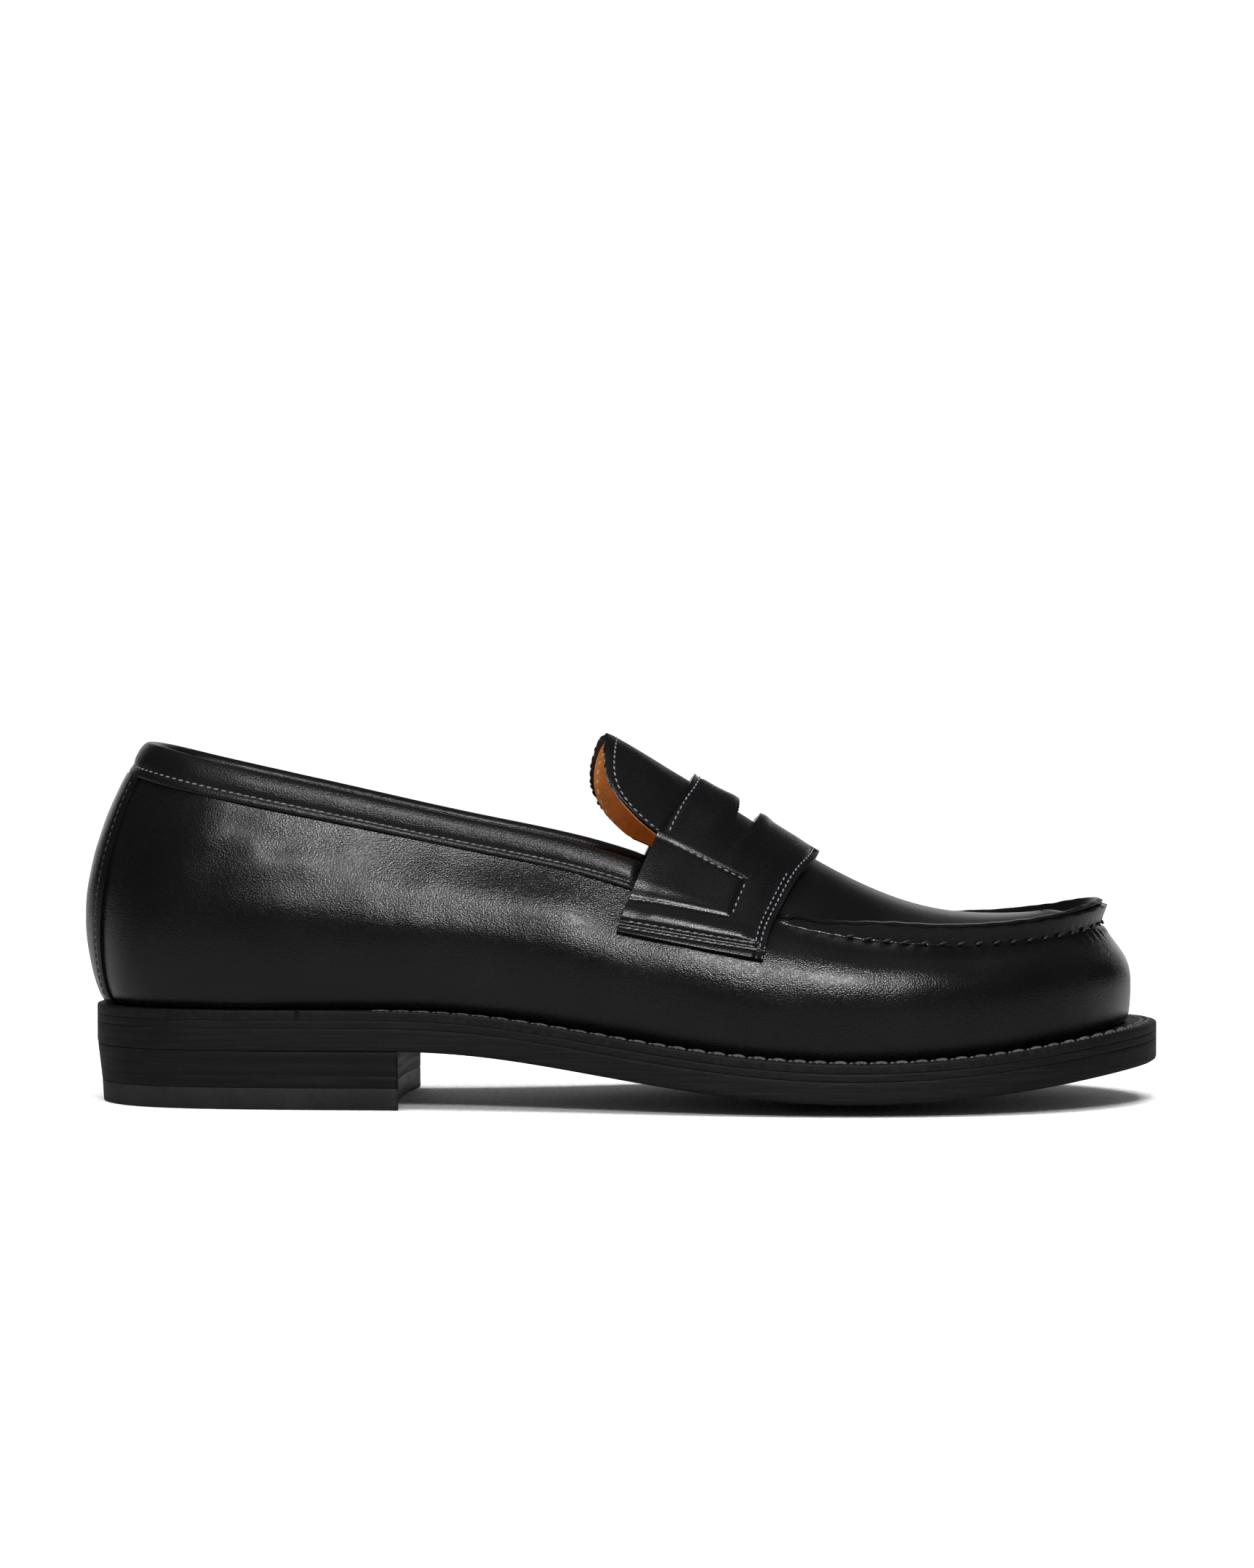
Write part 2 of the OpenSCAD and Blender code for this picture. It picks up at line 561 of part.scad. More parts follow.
outsole();
midsole();
welt();
heel_rand();
welt_stitching();
insole();
insole_rib();
inseam_thread();
cork_filler();
shank();
heel_lift_upper();
heel_lift_middle();
heel_lift_lower();
top_lift();
heel_nails();
sock_lining();
side_wall();
apron();
saddle_strap();
tongue();
tongue_lining();
topline_collar();
back_strip();
quarter_lining();
vamp_lining();
heel_counter();
toe_puff();
apron_seam_thread();
strap_thread();
collar_thread();
tongue_thread();
back_strip_thread();
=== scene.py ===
import math

import bmesh
import bpy
import numpy as np
from bpy.props import FloatProperty, FloatVectorProperty, PointerProperty
from mathutils import Matrix, Vector, noise


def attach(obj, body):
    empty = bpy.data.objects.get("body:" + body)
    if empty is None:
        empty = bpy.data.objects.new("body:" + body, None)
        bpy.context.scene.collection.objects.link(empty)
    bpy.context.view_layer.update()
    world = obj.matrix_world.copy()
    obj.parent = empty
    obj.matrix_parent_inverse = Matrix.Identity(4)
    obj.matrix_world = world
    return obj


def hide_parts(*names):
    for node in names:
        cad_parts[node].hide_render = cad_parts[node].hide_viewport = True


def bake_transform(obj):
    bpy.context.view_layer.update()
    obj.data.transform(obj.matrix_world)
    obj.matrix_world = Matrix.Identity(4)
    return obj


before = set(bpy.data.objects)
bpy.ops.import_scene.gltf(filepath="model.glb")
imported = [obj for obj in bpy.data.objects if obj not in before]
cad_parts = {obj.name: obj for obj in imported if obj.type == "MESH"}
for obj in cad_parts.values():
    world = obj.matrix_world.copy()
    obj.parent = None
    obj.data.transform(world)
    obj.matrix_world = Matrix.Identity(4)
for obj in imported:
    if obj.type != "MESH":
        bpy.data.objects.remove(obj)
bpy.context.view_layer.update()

bl_info = {
    "name": "Penny loafer",
    "version": (1, 0, 0),
    "blender": (4, 5, 0),
    "location": "View3D > Sidebar > Loafer",
    "description": "Leather, soles, stitches and studio for a welted penny loafer",
    "category": "Object",
}

MM = 0.001

# ---------------------------------------------------------------- the last

# Places are u round the shoe (0 heel, 10 toe) and v up its side (2 feather edge, 6 topline, 8 ridge).
# x, y outer side, y inner side, welt width, bulge, bulge height, shoulder inset and height,
# edge inset and height, ridge x and height, sole spine x; all in mm, heel first
STATIONS = [
    (-142, 0, 0, 3.0, 5.2, 24, 0, 78, 12, 100.0, -100, 112, -112),
    (-134, -19, 18, 2.8, 4.8, 24, 0, 77, 10, 98.8, -100, 112, -108),
    (-112, -29, 27, 2.0, 4.2, 22, 0.5, 72, 8, 93.8, -98, 112, -97),
    (-78, -32, 29, 2.5, 4.0, 21, 1.5, 65, 8, 85.4, -72, 112, -72),
    (-42, -34, 29, 3.5, 4.0, 20, 1.8, 58, 9, 74.0, -34, 117.8, -40),
    (-6, -39, 33, 5.0, 3.0, 18, 2.2, 53, 11, 67.6, 12, 93.8, -6),
    (32, -45, 42, 6.0, 2.0, 16, 5.0, 48, 13, 51.4, 50, 69.7, 30),
    (68, -47, 47, 6.0, 1.5, 15, 4.0, 43, 13, 45.5, 80, 55.2, 64),
    (102, -41, 43, 6.2, 1.5, 14, 3.0, 42, 12, 45.0, 103, 52.2, 92),
    (128, -24, 28, 7.4, 1.5, 13, 3.0, 43, 10, 47.8, 114, 52.4, 107),
    (140, 2, 2, 8.4, 1.2, 12, 3.5, 43, 9, 51.0, 116, 52.6, 112),
]
SEAT = [
    (-150, 27.1), (-75, 27.1), (-57, 27.1), (-41, 26.3), (-24, 24.3), (-7, 21.6), (10, 18.9), (26, 16.7),
    (43, 15.0), (60, 14.4), (80, 15.1), (101, 16.8), (124, 19.6), (138, 21.4), (150, 22.2),
]
COLUMNS = 20
SPINE = 100
WELT_END = 2.735
STRAP_START = 5.26
BELLY = 3.1
LEATHER = 1.6
STRAP_TOP = 2.05
LIP_HALF = 1.55
WELT_TOP = -0.15
WELT_LOW = -2.75
MID_TOP = -2.8
MID_LOW = -4.95
OUT_TOP = -5.0
OUT_LOW = -11.1
SOCK_LOW = 6.3
LIFT_TOP = 15.8


def ease(a, b, x):
    t = np.clip((np.asarray(x, float) - a) / (b - a), 0, 1)
    return t * t * (3 - 2 * t)


def mix(a, b, t):
    return a * (1 - t) + b * t


def bell(x, centre, width):
    return np.exp(-((np.asarray(x, float) - centre) / width) ** 2)


def seat(x):
    x = np.clip(np.asarray(x, float), SEAT[0][0], SEAT[-1][0])
    px, pz = np.array(SEAT, float).T
    rise = np.diff(pz) / np.diff(px)
    tangent = np.concatenate([[rise[0]], (rise[1:] + rise[:-1]) / 2, [rise[-1]]])
    i = np.clip(np.searchsorted(px, x) - 1, 0, len(px) - 2)
    h = px[i + 1] - px[i]
    t = (x - px[i]) / h
    return (
        (2 * t**3 - 3 * t**2 + 1) * pz[i]
        + (t**3 - 2 * t**2 + t) * h * tangent[i]
        + (3 * t**2 - 2 * t**3) * pz[i + 1]
        + (t**3 - t**2) * h * tangent[i + 1]
    )


def sag(x, y):
    return BELLY * ease(-30, 40, x) * (1 - ease(80, 135, x)) * np.clip(
        1 - (np.asarray(y, float) / 48) ** 2, 0, 1
    )


def station(k):
    k %= COLUMNS
    return STATIONS[k if k <= 10 else COLUMNS - k]


def edge_at(k):
    return np.array((station(k)[0], station(k)[2 if k % COLUMNS > 10 else 1]), float)


def inward(k):
    d = edge_at(k + 1) - edge_at(k - 1)
    return np.array((-d[1], d[0])) / np.hypot(*d)


def floor_at(q, level=0.0):
    return np.array((q[0], q[1], float(seat(q[0]) - sag(q[0], q[1])) + level))


def plan_at(k, r):
    if r == SPINE:
        return np.array((station(k)[12], 0.0))
    return edge_at(k) + inward(k) * (r * station(k)[3] if r < 0 else r)


def column(k):
    s, p, w = station(k), edge_at(k), inward(k)
    c = np.array((s[10], 0.0)) - p
    reach = np.hypot(*c)
    r, z = c / reach, float(seat(p[0]))
    low, after = floor_at(p + w * 9), floor_at(p + w * 3)

    def raised(q, height):
        return np.array((q[0], q[1], height))

    crown = raised(p + r * (s[8] + (reach - s[8]) * 0.45), s[11] - 0.22 * (s[11] - s[9]))
    ridge = np.array((s[10], 0.0, s[11]))
    beyond = np.array((2 * ridge[0] - crown[0], -crown[1], crown[2]))
    return [
        2 * low - after, low, after, floor_at(p - w * 0.2, -0.3),
        raised(p - w * s[4] * 0.75, z + s[5] * 0.42), raised(p - w * s[4] * 1.15, z + s[5] + 4),
        raised(p + r * s[6], s[7]), raised(p + r * s[8], s[9]), crown, ridge, beyond,
    ]


def sharper(c):
    return c - (np.roll(c, 1, 0) - 2 * c + np.roll(c, -1, 0)) / 5


NET = sharper(np.array([column(k) for k in range(COLUMNS)]))
STEPS = np.arange(4)


def weights(t):
    t = t[:, None]
    return np.hstack([(1 - t) ** 3, 3 * t**3 - 6 * t**2 + 4, 1 + 3 * t + 3 * t**2 - 3 * t**3, t**3]) / 6


def rates(t):
    t = t[:, None]
    return np.hstack([-((1 - t) ** 2), 3 * t**2 - 4 * t, 1 + 2 * t - 3 * t**2, t**2]) / 2


def same_size(*values):
    values = np.broadcast_arrays(*[np.asarray(v, float) for v in values])
    return [v.ravel() for v in values]


def jet(u, v):
    """Point and both tangents of the last at (u round the shoe, v up the side), in mm."""
    u, v = same_size(u, v)
    iu, iv = np.floor(u).astype(int), np.clip(np.floor(v).astype(int), 0, 7)
    cage = NET[((iu[:, None] - 1 + STEPS) % COLUMNS)[:, :, None], (iv[:, None] + STEPS)[:, None, :]]
    round_it, along_it = (np.einsum("ni,nijc->njc", b, cage) for b in (weights(u - iu), rates(u - iu)))
    bv, dv = weights(v - iv), rates(v - iv)
    return [np.einsum("nj,njc->nc", b, rows) for b, rows in ((bv, round_it), (bv, along_it), (dv, round_it))]


def unit(a):
    return a / np.maximum(np.linalg.norm(a, axis=1, keepdims=True), 1e-9)


def normal_at(u, v):
    u, v = same_size(u, v)
    low = np.minimum(v, 7.9)
    _, a, b = jet(u, low)
    n = unit(np.cross(a, b))
    _, a, b = jet(COLUMNS - u, low)
    other = unit(np.cross(a, b))
    k = np.clip((v - 7.9) / 0.1, 0, 1)[:, None] / 2
    return unit(n * (1 - k) + other * k)


def skin(u, v, d=0.0):
    u, v, d = same_size(u, v, d)
    return jet(u, v)[0] + normal_at(u, v) * d[:, None]


def edge_frame(u):
    p, a, b = jet(u, 6.0 + 0 * np.asarray(u, float))
    n = unit(np.cross(a, b))
    t = np.cross(n, unit(a))
    return p, n, t, np.sum(b * t, axis=1)


def seam(u, a, d):
    """A place near the edge line: a is mm up the leather past the edge, d is mm off the surface."""
    u, a, d = same_size(u, a, d)
    p, n, t, _ = edge_frame(u)
    return p + t * a[:, None] + n * d[:, None]


def edge_v(u, a):
    u, a = same_size(u, a)
    return 6 + a / edge_frame(u)[3]


def along_edge(u, a, d):
    """As seam, but below the edge it follows the curved leather."""
    u, a, d = same_size(u, a, d)
    below = skin(u, edge_v(u, np.minimum(a, 0)), d)
    return below + edge_frame(u)[2] * np.maximum(a, 0)[:, None]


def ring_line(r):
    return sharper(np.array([floor_at(plan_at(k, r)) for k in range(COLUMNS)]))


def on_line(line, u):
    u = np.asarray(u, float).ravel()
    i = np.floor(u).astype(int)
    return np.einsum("ni,nic->nc", weights(u - i), line[(i[:, None] - 1 + STEPS) % COLUMNS])


def lip_on(u):
    return 1 - ease(3.74, 3.9, abs(np.asarray(u) - 10))


def lip(u):
    w = abs(np.asarray(u) - 10)
    return mix(5.4, 4.4, ease(0, 3.2, w)) * (1 - 0.62 * ease(2.9, 3.75, w))


LEAN = 0.25


def near(u):
    u = np.asarray(u, float)
    return abs(u - COLUMNS * np.round(u / COLUMNS))


def pad(u, v):
    sides = np.maximum(1 - ease(2, 3, near(u)), 1 - ease(1.4, 2.2, abs(np.asarray(u) - 10)))
    return 1.1 * ease(1, 2, v) * (1 - ease(4.2, 5.4, v)) * sides


def crest(v):
    return 0.066 * (1 - np.minimum(1, (8 - v) / 0.71)) ** 2


def strap_back(v):
    return 5.1 + 0.046 * (v - 4.45) - crest(v) - 0.03 * ease(6.8, 8, v)


def strap_front(v):
    return 6.13 + 0.02 * (v - 4.45) - crest(v) - 0.038 * ease(4.6, 6.1, v)


def strap_uv(a, w):
    a, w = same_size(a, w)
    v = 8 - 3.55 * abs(w)
    u = mix(strap_back(v), strap_front(v), a)
    return np.where(w > 0, COLUMNS - u, u), v


def tongue_uv(s, w, under=-0.02, trim=0.0):
    """s runs from the tongue's free edge (0) to the strap (1), w across it."""
    s, w = same_size(s, w)
    v = 8 - 1.75 * abs(w)
    front = strap_back(v) + under
    inner = 4.655 + 0.03 * abs(w) + 0.37 * w**8
    outer = 4.655 + 0.2 * abs(w) + 1.8 * w**8
    blend = ease(-0.06, 0.06, w)
    back = np.minimum(mix(outer, inner, blend) + trim, strap_back(v) + 0.02)
    u = mix(back, front, s)
    return np.where(w > 0, COLUMNS - u, u), v


def roughness_field(points, size, depth, seed=0.0):
    """Gentle unevenness of hand-lasted leather: noise of this size in mm, plus or minus depth."""
    shift = Vector((seed, seed * 1.7, -seed))
    return depth * np.array([noise.noise(Vector(p) / size + shift) for p in points])


# ---------------------------------------------------------------- mesh helpers


def grid(nx, ny, place):
    """A bmesh grid whose points place() puts in mm; touching edges are welded."""
    bm = bmesh.new()
    uv = bm.loops.layers.uv.new("surface")
    bmesh.ops.create_grid(bm, x_segments=nx, y_segments=ny, size=1.0)
    bm.verts.ensure_lookup_table()
    at = np.array([(v.co.x, v.co.y) for v in bm.verts]) * 0.5 + 0.5
    for face in bm.faces:
        for loop in face.loops:
            loop[uv].uv = at[loop.vert.index]
    for vert, p in zip(bm.verts, place(at[:, 0], at[:, 1]) * MM):
        vert.co = p
    bmesh.ops.remove_doubles(bm, verts=bm.verts, dist=1e-6)
    return bm


def close_ends(bm):
    rims = [e for e in bm.edges if e.is_boundary]
    if rims:
        bmesh.ops.holes_fill(bm, edges=rims, sides=0)


def finish(bm, name, body, material, nodes=(), thickness=0.0, bevel=0.0, segments=3, fill=False):
    """Turns a bmesh into a finished piece that rides on its body."""
    if fill:
        close_ends(bm)
    mesh = bpy.data.meshes.new(name)
    bm.to_mesh(mesh)
    bm.free()
    mesh.shade_smooth()
    mesh.materials.append(material)
    piece = bpy.data.objects.new(name, mesh)
    bpy.context.scene.collection.objects.link(piece)
    if thickness:
        solid = piece.modifiers.new("leather_thickness", "SOLIDIFY")
        solid.thickness = thickness * MM
        solid.offset = -1
    if bevel:
        soft = piece.modifiers.new("cut_edge", "BEVEL")
        soft.width = bevel * MM
        soft.segments = segments
        soft.limit_method = "ANGLE"
        soft.angle_limit = math.radians(50)
        soft.harden_normals = False
    if body:
        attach(piece, body)
    if nodes:
        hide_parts(*nodes)
    return piece


def ring_profile(us, profile):
    """Place function for a closed profile of (ring share or mm, level) swept along the sole's edge."""
    lines = [ring_line(r) for r, _ in profile]
    levels = [level for _, level in profile]

    def place(s, q):
        u = us[0] + (us[1] - us[0]) * s
        x = q * (len(profile) - 1)
        i = np.clip(np.floor(x + 1e-6).astype(int), 0, len(profile) - 2)
        t = x - i
        points = np.zeros((len(s), 3))
        for k in range(len(profile) - 1):
            pick = i == k
            if pick.any():
                a = on_line(lines[k], u[pick]) + (0, 0, levels[k])
                b = on_line(lines[k + 1], u[pick]) + (0, 0, levels[k + 1])
                points[pick] = a + (b - a) * t[pick][:, None]
        return points

    return place


def stitch_row(bm, points, normals, pitch, length, width, height, sink=0.1, lean=0.0, swell=None):
    """Lays one rounded stitch every pitch mm along a line of points; swell scales the width along it."""
    points = np.asarray(points)
    way = np.concatenate([[0], np.cumsum(np.linalg.norm(np.diff(points, axis=0), axis=1))])
    one = bmesh.new()
    bmesh.ops.create_uvsphere(one, u_segments=6, v_segments=6, radius=MM)
    bead = bpy.data.meshes.new("bead")
    one.to_mesh(bead)
    one.free()
    count = max(1, int(way[-1] / pitch))
    for k in range(count):
        s = (k + 0.5) * way[-1] / count
        p, a, b, n = (
            np.array([np.interp(x, way, line[:, c]) for c in range(3)])
            for x, line in ((s, points), (s - 0.4, points), (s + 0.4, points), (s, normals))
        )
        n = n / np.linalg.norm(n)
        fat = 1.0 if swell is None else np.interp(s, way, swell)
        along = (b - a) / np.linalg.norm(b - a)
        side = np.cross(n, along)
        if lean:
            along = math.cos(lean) * along + math.sin(lean) * side
            side = np.cross(n, along)
        n = np.cross(along, side)
        halves = length / 2, width / 2 * fat, height / 2 * fat
        middle = (p - n * sink) * MM
        columns = [axis * half for axis, half in zip((along, side, n), halves)] + [middle]
        rows = [[column[c] for column in columns] for c in range(3)]
        turn = Matrix((*rows, (0, 0, 0, 1)))
        stitch = bead.copy()
        stitch.transform(turn)
        bm.from_mesh(stitch)
        bpy.data.meshes.remove(stitch)
    bpy.data.meshes.remove(bead)


def surface_row(bm, u, v, d, **shape):
    stitch_row(bm, skin(u, v, d), normal_at(u, v), **shape)


# ---------------------------------------------------------------- materials


class Value:
    """A shader value that can be used in Python expressions."""

    def __init__(self, tree, socket):
        self.tree, self.socket = tree, socket

    def math(self, operation, *others, clamp=False):
        node = self.tree.nodes.new("ShaderNodeMath")
        node.operation = operation
        node.use_clamp = clamp
        for slot, value in zip(node.inputs, (self, *others)):
            if isinstance(value, Value):
                self.tree.links.new(value.socket, slot)
            else:
                slot.default_value = value
        return Value(self.tree, node.outputs[0])

    def constant(self, number):
        node = self.tree.nodes.new("ShaderNodeMath")
        node.operation = "ADD"
        node.inputs[0].default_value = number
        node.inputs[1].default_value = 0
        return Value(self.tree, node.outputs[0])

    def __add__(self, other):
        return self.math("ADD", other)

    __radd__ = __add__

    def __mul__(self, other):
        return self.math("MULTIPLY", other)

    __rmul__ = __mul__

    def __sub__(self, other):
        return self.math("SUBTRACT", other)

    def __rsub__(self, other):
        return self.constant(other).math("SUBTRACT", self)

    def __truediv__(self, other):
        return self.math("DIVIDE", other)

    def clamped(self):
        return self.math("ADD", 0.0, clamp=True)

    def ramp(self, low, high):
        """0 at low, 1 at high, straight between."""
        return ((self - low) / (high - low)).clamped()


class Finish:
    """One material, built node by node."""

    def __init__(self, name):
        self.material = bpy.data.materials.new(name)
        self.material.use_nodes = True
        self.tree = self.material.node_tree
        self.shader = self.tree.nodes["Principled BSDF"]
        self.place = self.tree.nodes.new("ShaderNodeTexCoord")

    def add(self, kind, settings=None, **sockets):
        node = self.tree.nodes.new(kind)
        for key, value in (settings or {}).items():
            setattr(node, key, value)
        for key, value in sockets.items():
            slot = node.inputs[key.replace("_", " ")]
            self.join(value, slot)
        return node

    def join(self, value, slot):
        if isinstance(value, Value):
            self.tree.links.new(value.socket, slot)
        elif isinstance(value, bpy.types.NodeSocket):
            self.tree.links.new(value, slot)
        else:
            slot.default_value = value

    def value(self, socket):
        return Value(self.tree, socket)

    def scaled(self, vector, x, y, z):
        node = self.add("ShaderNodeMapping", Vector=vector)
        node.inputs["Scale"].default_value = (x, y, z)
        return node.outputs[0]

    def stretched(self, x, y, z):
        """Object coordinates scaled along each axis."""
        return self.scaled(self.place.outputs["Object"], x, y, z)

    def noise(self, scale, detail=2.0, roughness=0.5, vector=None):
        node = self.add(
            "ShaderNodeTexNoise",
            Vector=vector or self.place.outputs["Object"],
            Scale=scale,
            Detail=detail,
            Roughness=roughness,
        )
        return self.value(node.outputs["Fac"])

    def cells(self, scale, feature="DISTANCE_TO_EDGE", vector=None):
        node = self.add(
            "ShaderNodeTexVoronoi",
            {"feature": feature},
            Vector=vector or self.place.outputs["Object"],
            Scale=scale,
        )
        return self.value(node.outputs["Distance"])

    def colour_mix(self, a, b, amount):
        node = self.add("ShaderNodeMix", {"data_type": "RGBA"})
        self.join(amount, node.inputs[0])
        self.join(a, node.inputs[6])
        self.join(b, node.inputs[7])
        return node.outputs[2]

    def bump(self, height, depth, strength=1.0, after=None):
        node = self.add("ShaderNodeBump", Height=height, Distance=depth, Strength=strength)
        if after is not None:
            self.join(after, node.inputs["Normal"])
        return node.outputs[0]

    def done(self, colour, rough, normal=None, **fixed):
        self.join(colour, self.shader.inputs["Base Color"])
        self.join(rough, self.shader.inputs["Roughness"])
        if normal is not None:
            self.join(normal, self.shader.inputs["Normal"])
        for key, value in fixed.items():
            self.join(value, self.shader.inputs[key.replace("_", " ")])
        return self.material


def rgba(colour):
    return (*colour, 1.0)


def calf_finish(name, colour, polish, grain=1.0, wear=0.5):
    """Polished calf: fine pebble grain, soft creases, a waxed coat."""
    f = Finish(name)
    warp = f.add("ShaderNodeTexNoise", Vector=f.place.outputs["Object"], Scale=420.0, Detail=2.0)
    bent = f.add("ShaderNodeVectorMath", {"operation": "MULTIPLY_ADD"})
    f.join(warp.outputs["Color"], bent.inputs[0])
    bent.inputs[1].default_value = (0.0006, 0.0006, 0.0006)
    f.join(f.place.outputs["Object"], bent.inputs[2])
    pebbles = f.cells(1.0, "F1", f.scaled(bent.outputs[0], 1900.0, 2700.0, 2700.0))
    pores = f.noise(2600.0, 2.0, 0.6)
    folds = f.noise(110.0, 3.0, 0.6)
    patches = f.noise(38.0, 3.0, 0.5)
    height = folds * 0.9 - pebbles * 1.0 * grain + pores * 0.15
    tone = f.colour_mix(
        rgba(colour), rgba([c * 1.6 + 0.001 for c in colour]),
        (patches * 0.6 + pores * 0.4).ramp(0.42, 0.75)
    )
    scuff = (f.noise(600.0, 3.0, 0.65) * patches).ramp(0.30, 0.42) * wear
    rough = polish + pebbles * 0.08 + scuff * 0.10 + patches * 0.05
    return f.done(
        tone, rough, f.bump(height, 0.00006), Specular_IOR_Level=0.4, Coat_Weight=0.15, Coat_Roughness=0.2,
    )


def edge_finish(name, colour, along=(60.0, 60.0, 1500.0), gloss=0.55, shine=0.3):
    """Inked, burnished leather edge with fibres running along it."""
    f = Finish(name)
    fibres = f.noise(1.0, 4.0, 0.6, f.stretched(*along))
    coarse = f.noise(1.0, 2.0, 0.5, f.stretched(along[0] * 0.3, along[1] * 0.3, along[2] * 0.28))
    pits = f.cells(520.0, "F1", f.stretched(0.5, 0.5, 1.0)).ramp(0.10, 0.0)
    dust = f.noise(300.0, 4.0, 0.7).ramp(0.56, 0.75)
    tone = f.colour_mix(
        rgba(colour), rgba([c * 2.2 + 0.003 for c in colour]), (fibres.ramp(0.45, 0.8) * 0.6 + dust * 0.3)
    )
    rough = gloss + fibres.ramp(0.35, 0.8) * 0.22 + pits * 0.2
    return f.done(
        tone, rough, f.bump(fibres * 0.6 + coarse * 0.5 - pits * 0.5, 0.00022), Specular_IOR_Level=shine
    )


def lining_finish(name, colour, pale, rough=0.5):
    f = Finish(name)
    pebbles = f.cells(800.0).ramp(0.0, 0.3)
    cloud = f.noise(90.0, 4.0, 0.6)
    pores = f.noise(2100.0, 2.0, 0.6)
    streaks = f.noise(1.0, 3.0, 0.6, f.stretched(120.0, 900.0, 120.0))
    tone = f.colour_mix(rgba(colour), rgba(pale), (cloud * 0.7 + pores * 0.2 + streaks * 0.2).ramp(0.4, 0.75))
    return f.done(tone, rough + cloud * 0.12, f.bump(pebbles * 0.5 + pores * 0.6, 0.00014), Sheen_Weight=0.1)


def rubber_finish(name, colour):
    f = Finish(name)
    grain = f.noise(900.0, 3.0, 0.6)
    dust = f.noise(70.0, 4.0, 0.7).ramp(0.45, 0.75)
    tone = f.colour_mix(rgba(colour), rgba([c * 2.2 + 0.006 for c in colour]), dust * 0.5 + grain * 0.3)
    return f.done(tone, 0.55 + dust * 0.2, f.bump(grain, 0.00012))


def thread_finish(name, colour, bright):
    f = Finish(name)
    twist = f.noise(3800.0, 2.0, 0.6)
    patches = f.noise(260.0, 2.0, 0.5)
    tone = f.colour_mix(rgba(colour), rgba(bright), (twist * 0.6 + patches * 0.5).ramp(0.35, 0.75))
    return f.done(tone, 0.38 + twist * 0.25, f.bump(twist, 0.00008), Specular_IOR_Level=0.6)


def cloth_finish(name, colour, pale):
    f = Finish(name)
    across = f.add(
        "ShaderNodeTexWave", {"bands_direction": "X"}, Vector=f.place.outputs["Object"], Scale=420.0,
        Distortion=0.6
    )
    down = f.add(
        "ShaderNodeTexWave", {"bands_direction": "Y"}, Vector=f.place.outputs["Object"], Scale=420.0,
        Distortion=0.6
    )
    weave = f.value(across.outputs["Fac"]) * f.value(down.outputs["Fac"])
    cloud = f.noise(60.0, 3.0, 0.5)
    tone = f.colour_mix(rgba(colour), rgba(pale), weave * 0.7 + cloud * 0.3)
    return f.done(tone, 0.8 + cloud * 0.1, f.bump(weave, 0.0002), Sheen_Weight=0.2)


def cork_finish(name, colour, dark):
    f = Finish(name)
    crumbs = f.cells(420.0, "F1")
    cloud = f.noise(800.0, 3.0, 0.7)
    tone = f.colour_mix(rgba(dark), rgba(colour), (crumbs * 1.4 + cloud * 0.4).clamped())
    return f.done(tone, 0.85 + cloud * 0.1, f.bump(crumbs + cloud * 0.5, 0.0004))


def metal_finish(name, colour, rough):
    f = Finish(name)
    brush = f.noise(1.0, 3.0, 0.6, f.stretched(60.0, 1800.0, 1800.0))
    spots = f.noise(240.0, 3.0, 0.6)
    tone = f.colour_mix(rgba([c * 0.7 for c in colour]), rgba(colour), spots)
    return f.done(tone, rough + brush * 0.15, f.bump(brush, 0.00003), Metallic=1.0)


def floor_finish(name, colour):
    """White paper; gloss sees less of it in front of the shoe, as with a black sheet laid there: painted
    shade in the floor's reflections.
    """
    f = Finish(name)
    fine = f.noise(900.0, 3.0, 0.7)
    spot = f.add("ShaderNodeSeparateXYZ", Vector=f.place.outputs["Object"])
    front = f.value(spot.outputs["Y"]).ramp(0.08, -0.05)
    glossy = f.value(f.add("ShaderNodeLightPath").outputs["Is Glossy Ray"])
    tone = f.colour_mix(
        rgba([c * 0.76 for c in colour]), rgba(colour),
        (fine * 0.6 + f.noise(330.0, 3.0, 0.7) * 0.4).ramp(0.42, 0.58)
    )
    paper = f.done(tone, 0.8)
    # painted shade: a near-black diffuse that glossy rays see in place of the paper, so the floor's
    # reflections in the leather come out dark, most of all in front of the shoe
    painted_reflection_shade = f.add("ShaderNodeBsdfDiffuse", Color=(0.02, 0.02, 0.02, 1.0))
    blend = f.add("ShaderNodeMixShader")
    f.join(glossy * (front * 0.22 + 0.65), blend.inputs[0])
    f.join(f.shader.outputs[0], blend.inputs[1])
    f.join(painted_reflection_shade.outputs[0], blend.inputs[2])
    f.join(blend.outputs[0], f.tree.nodes["Material Output"].inputs["Surface"])
    return paper


FINISHES = {}


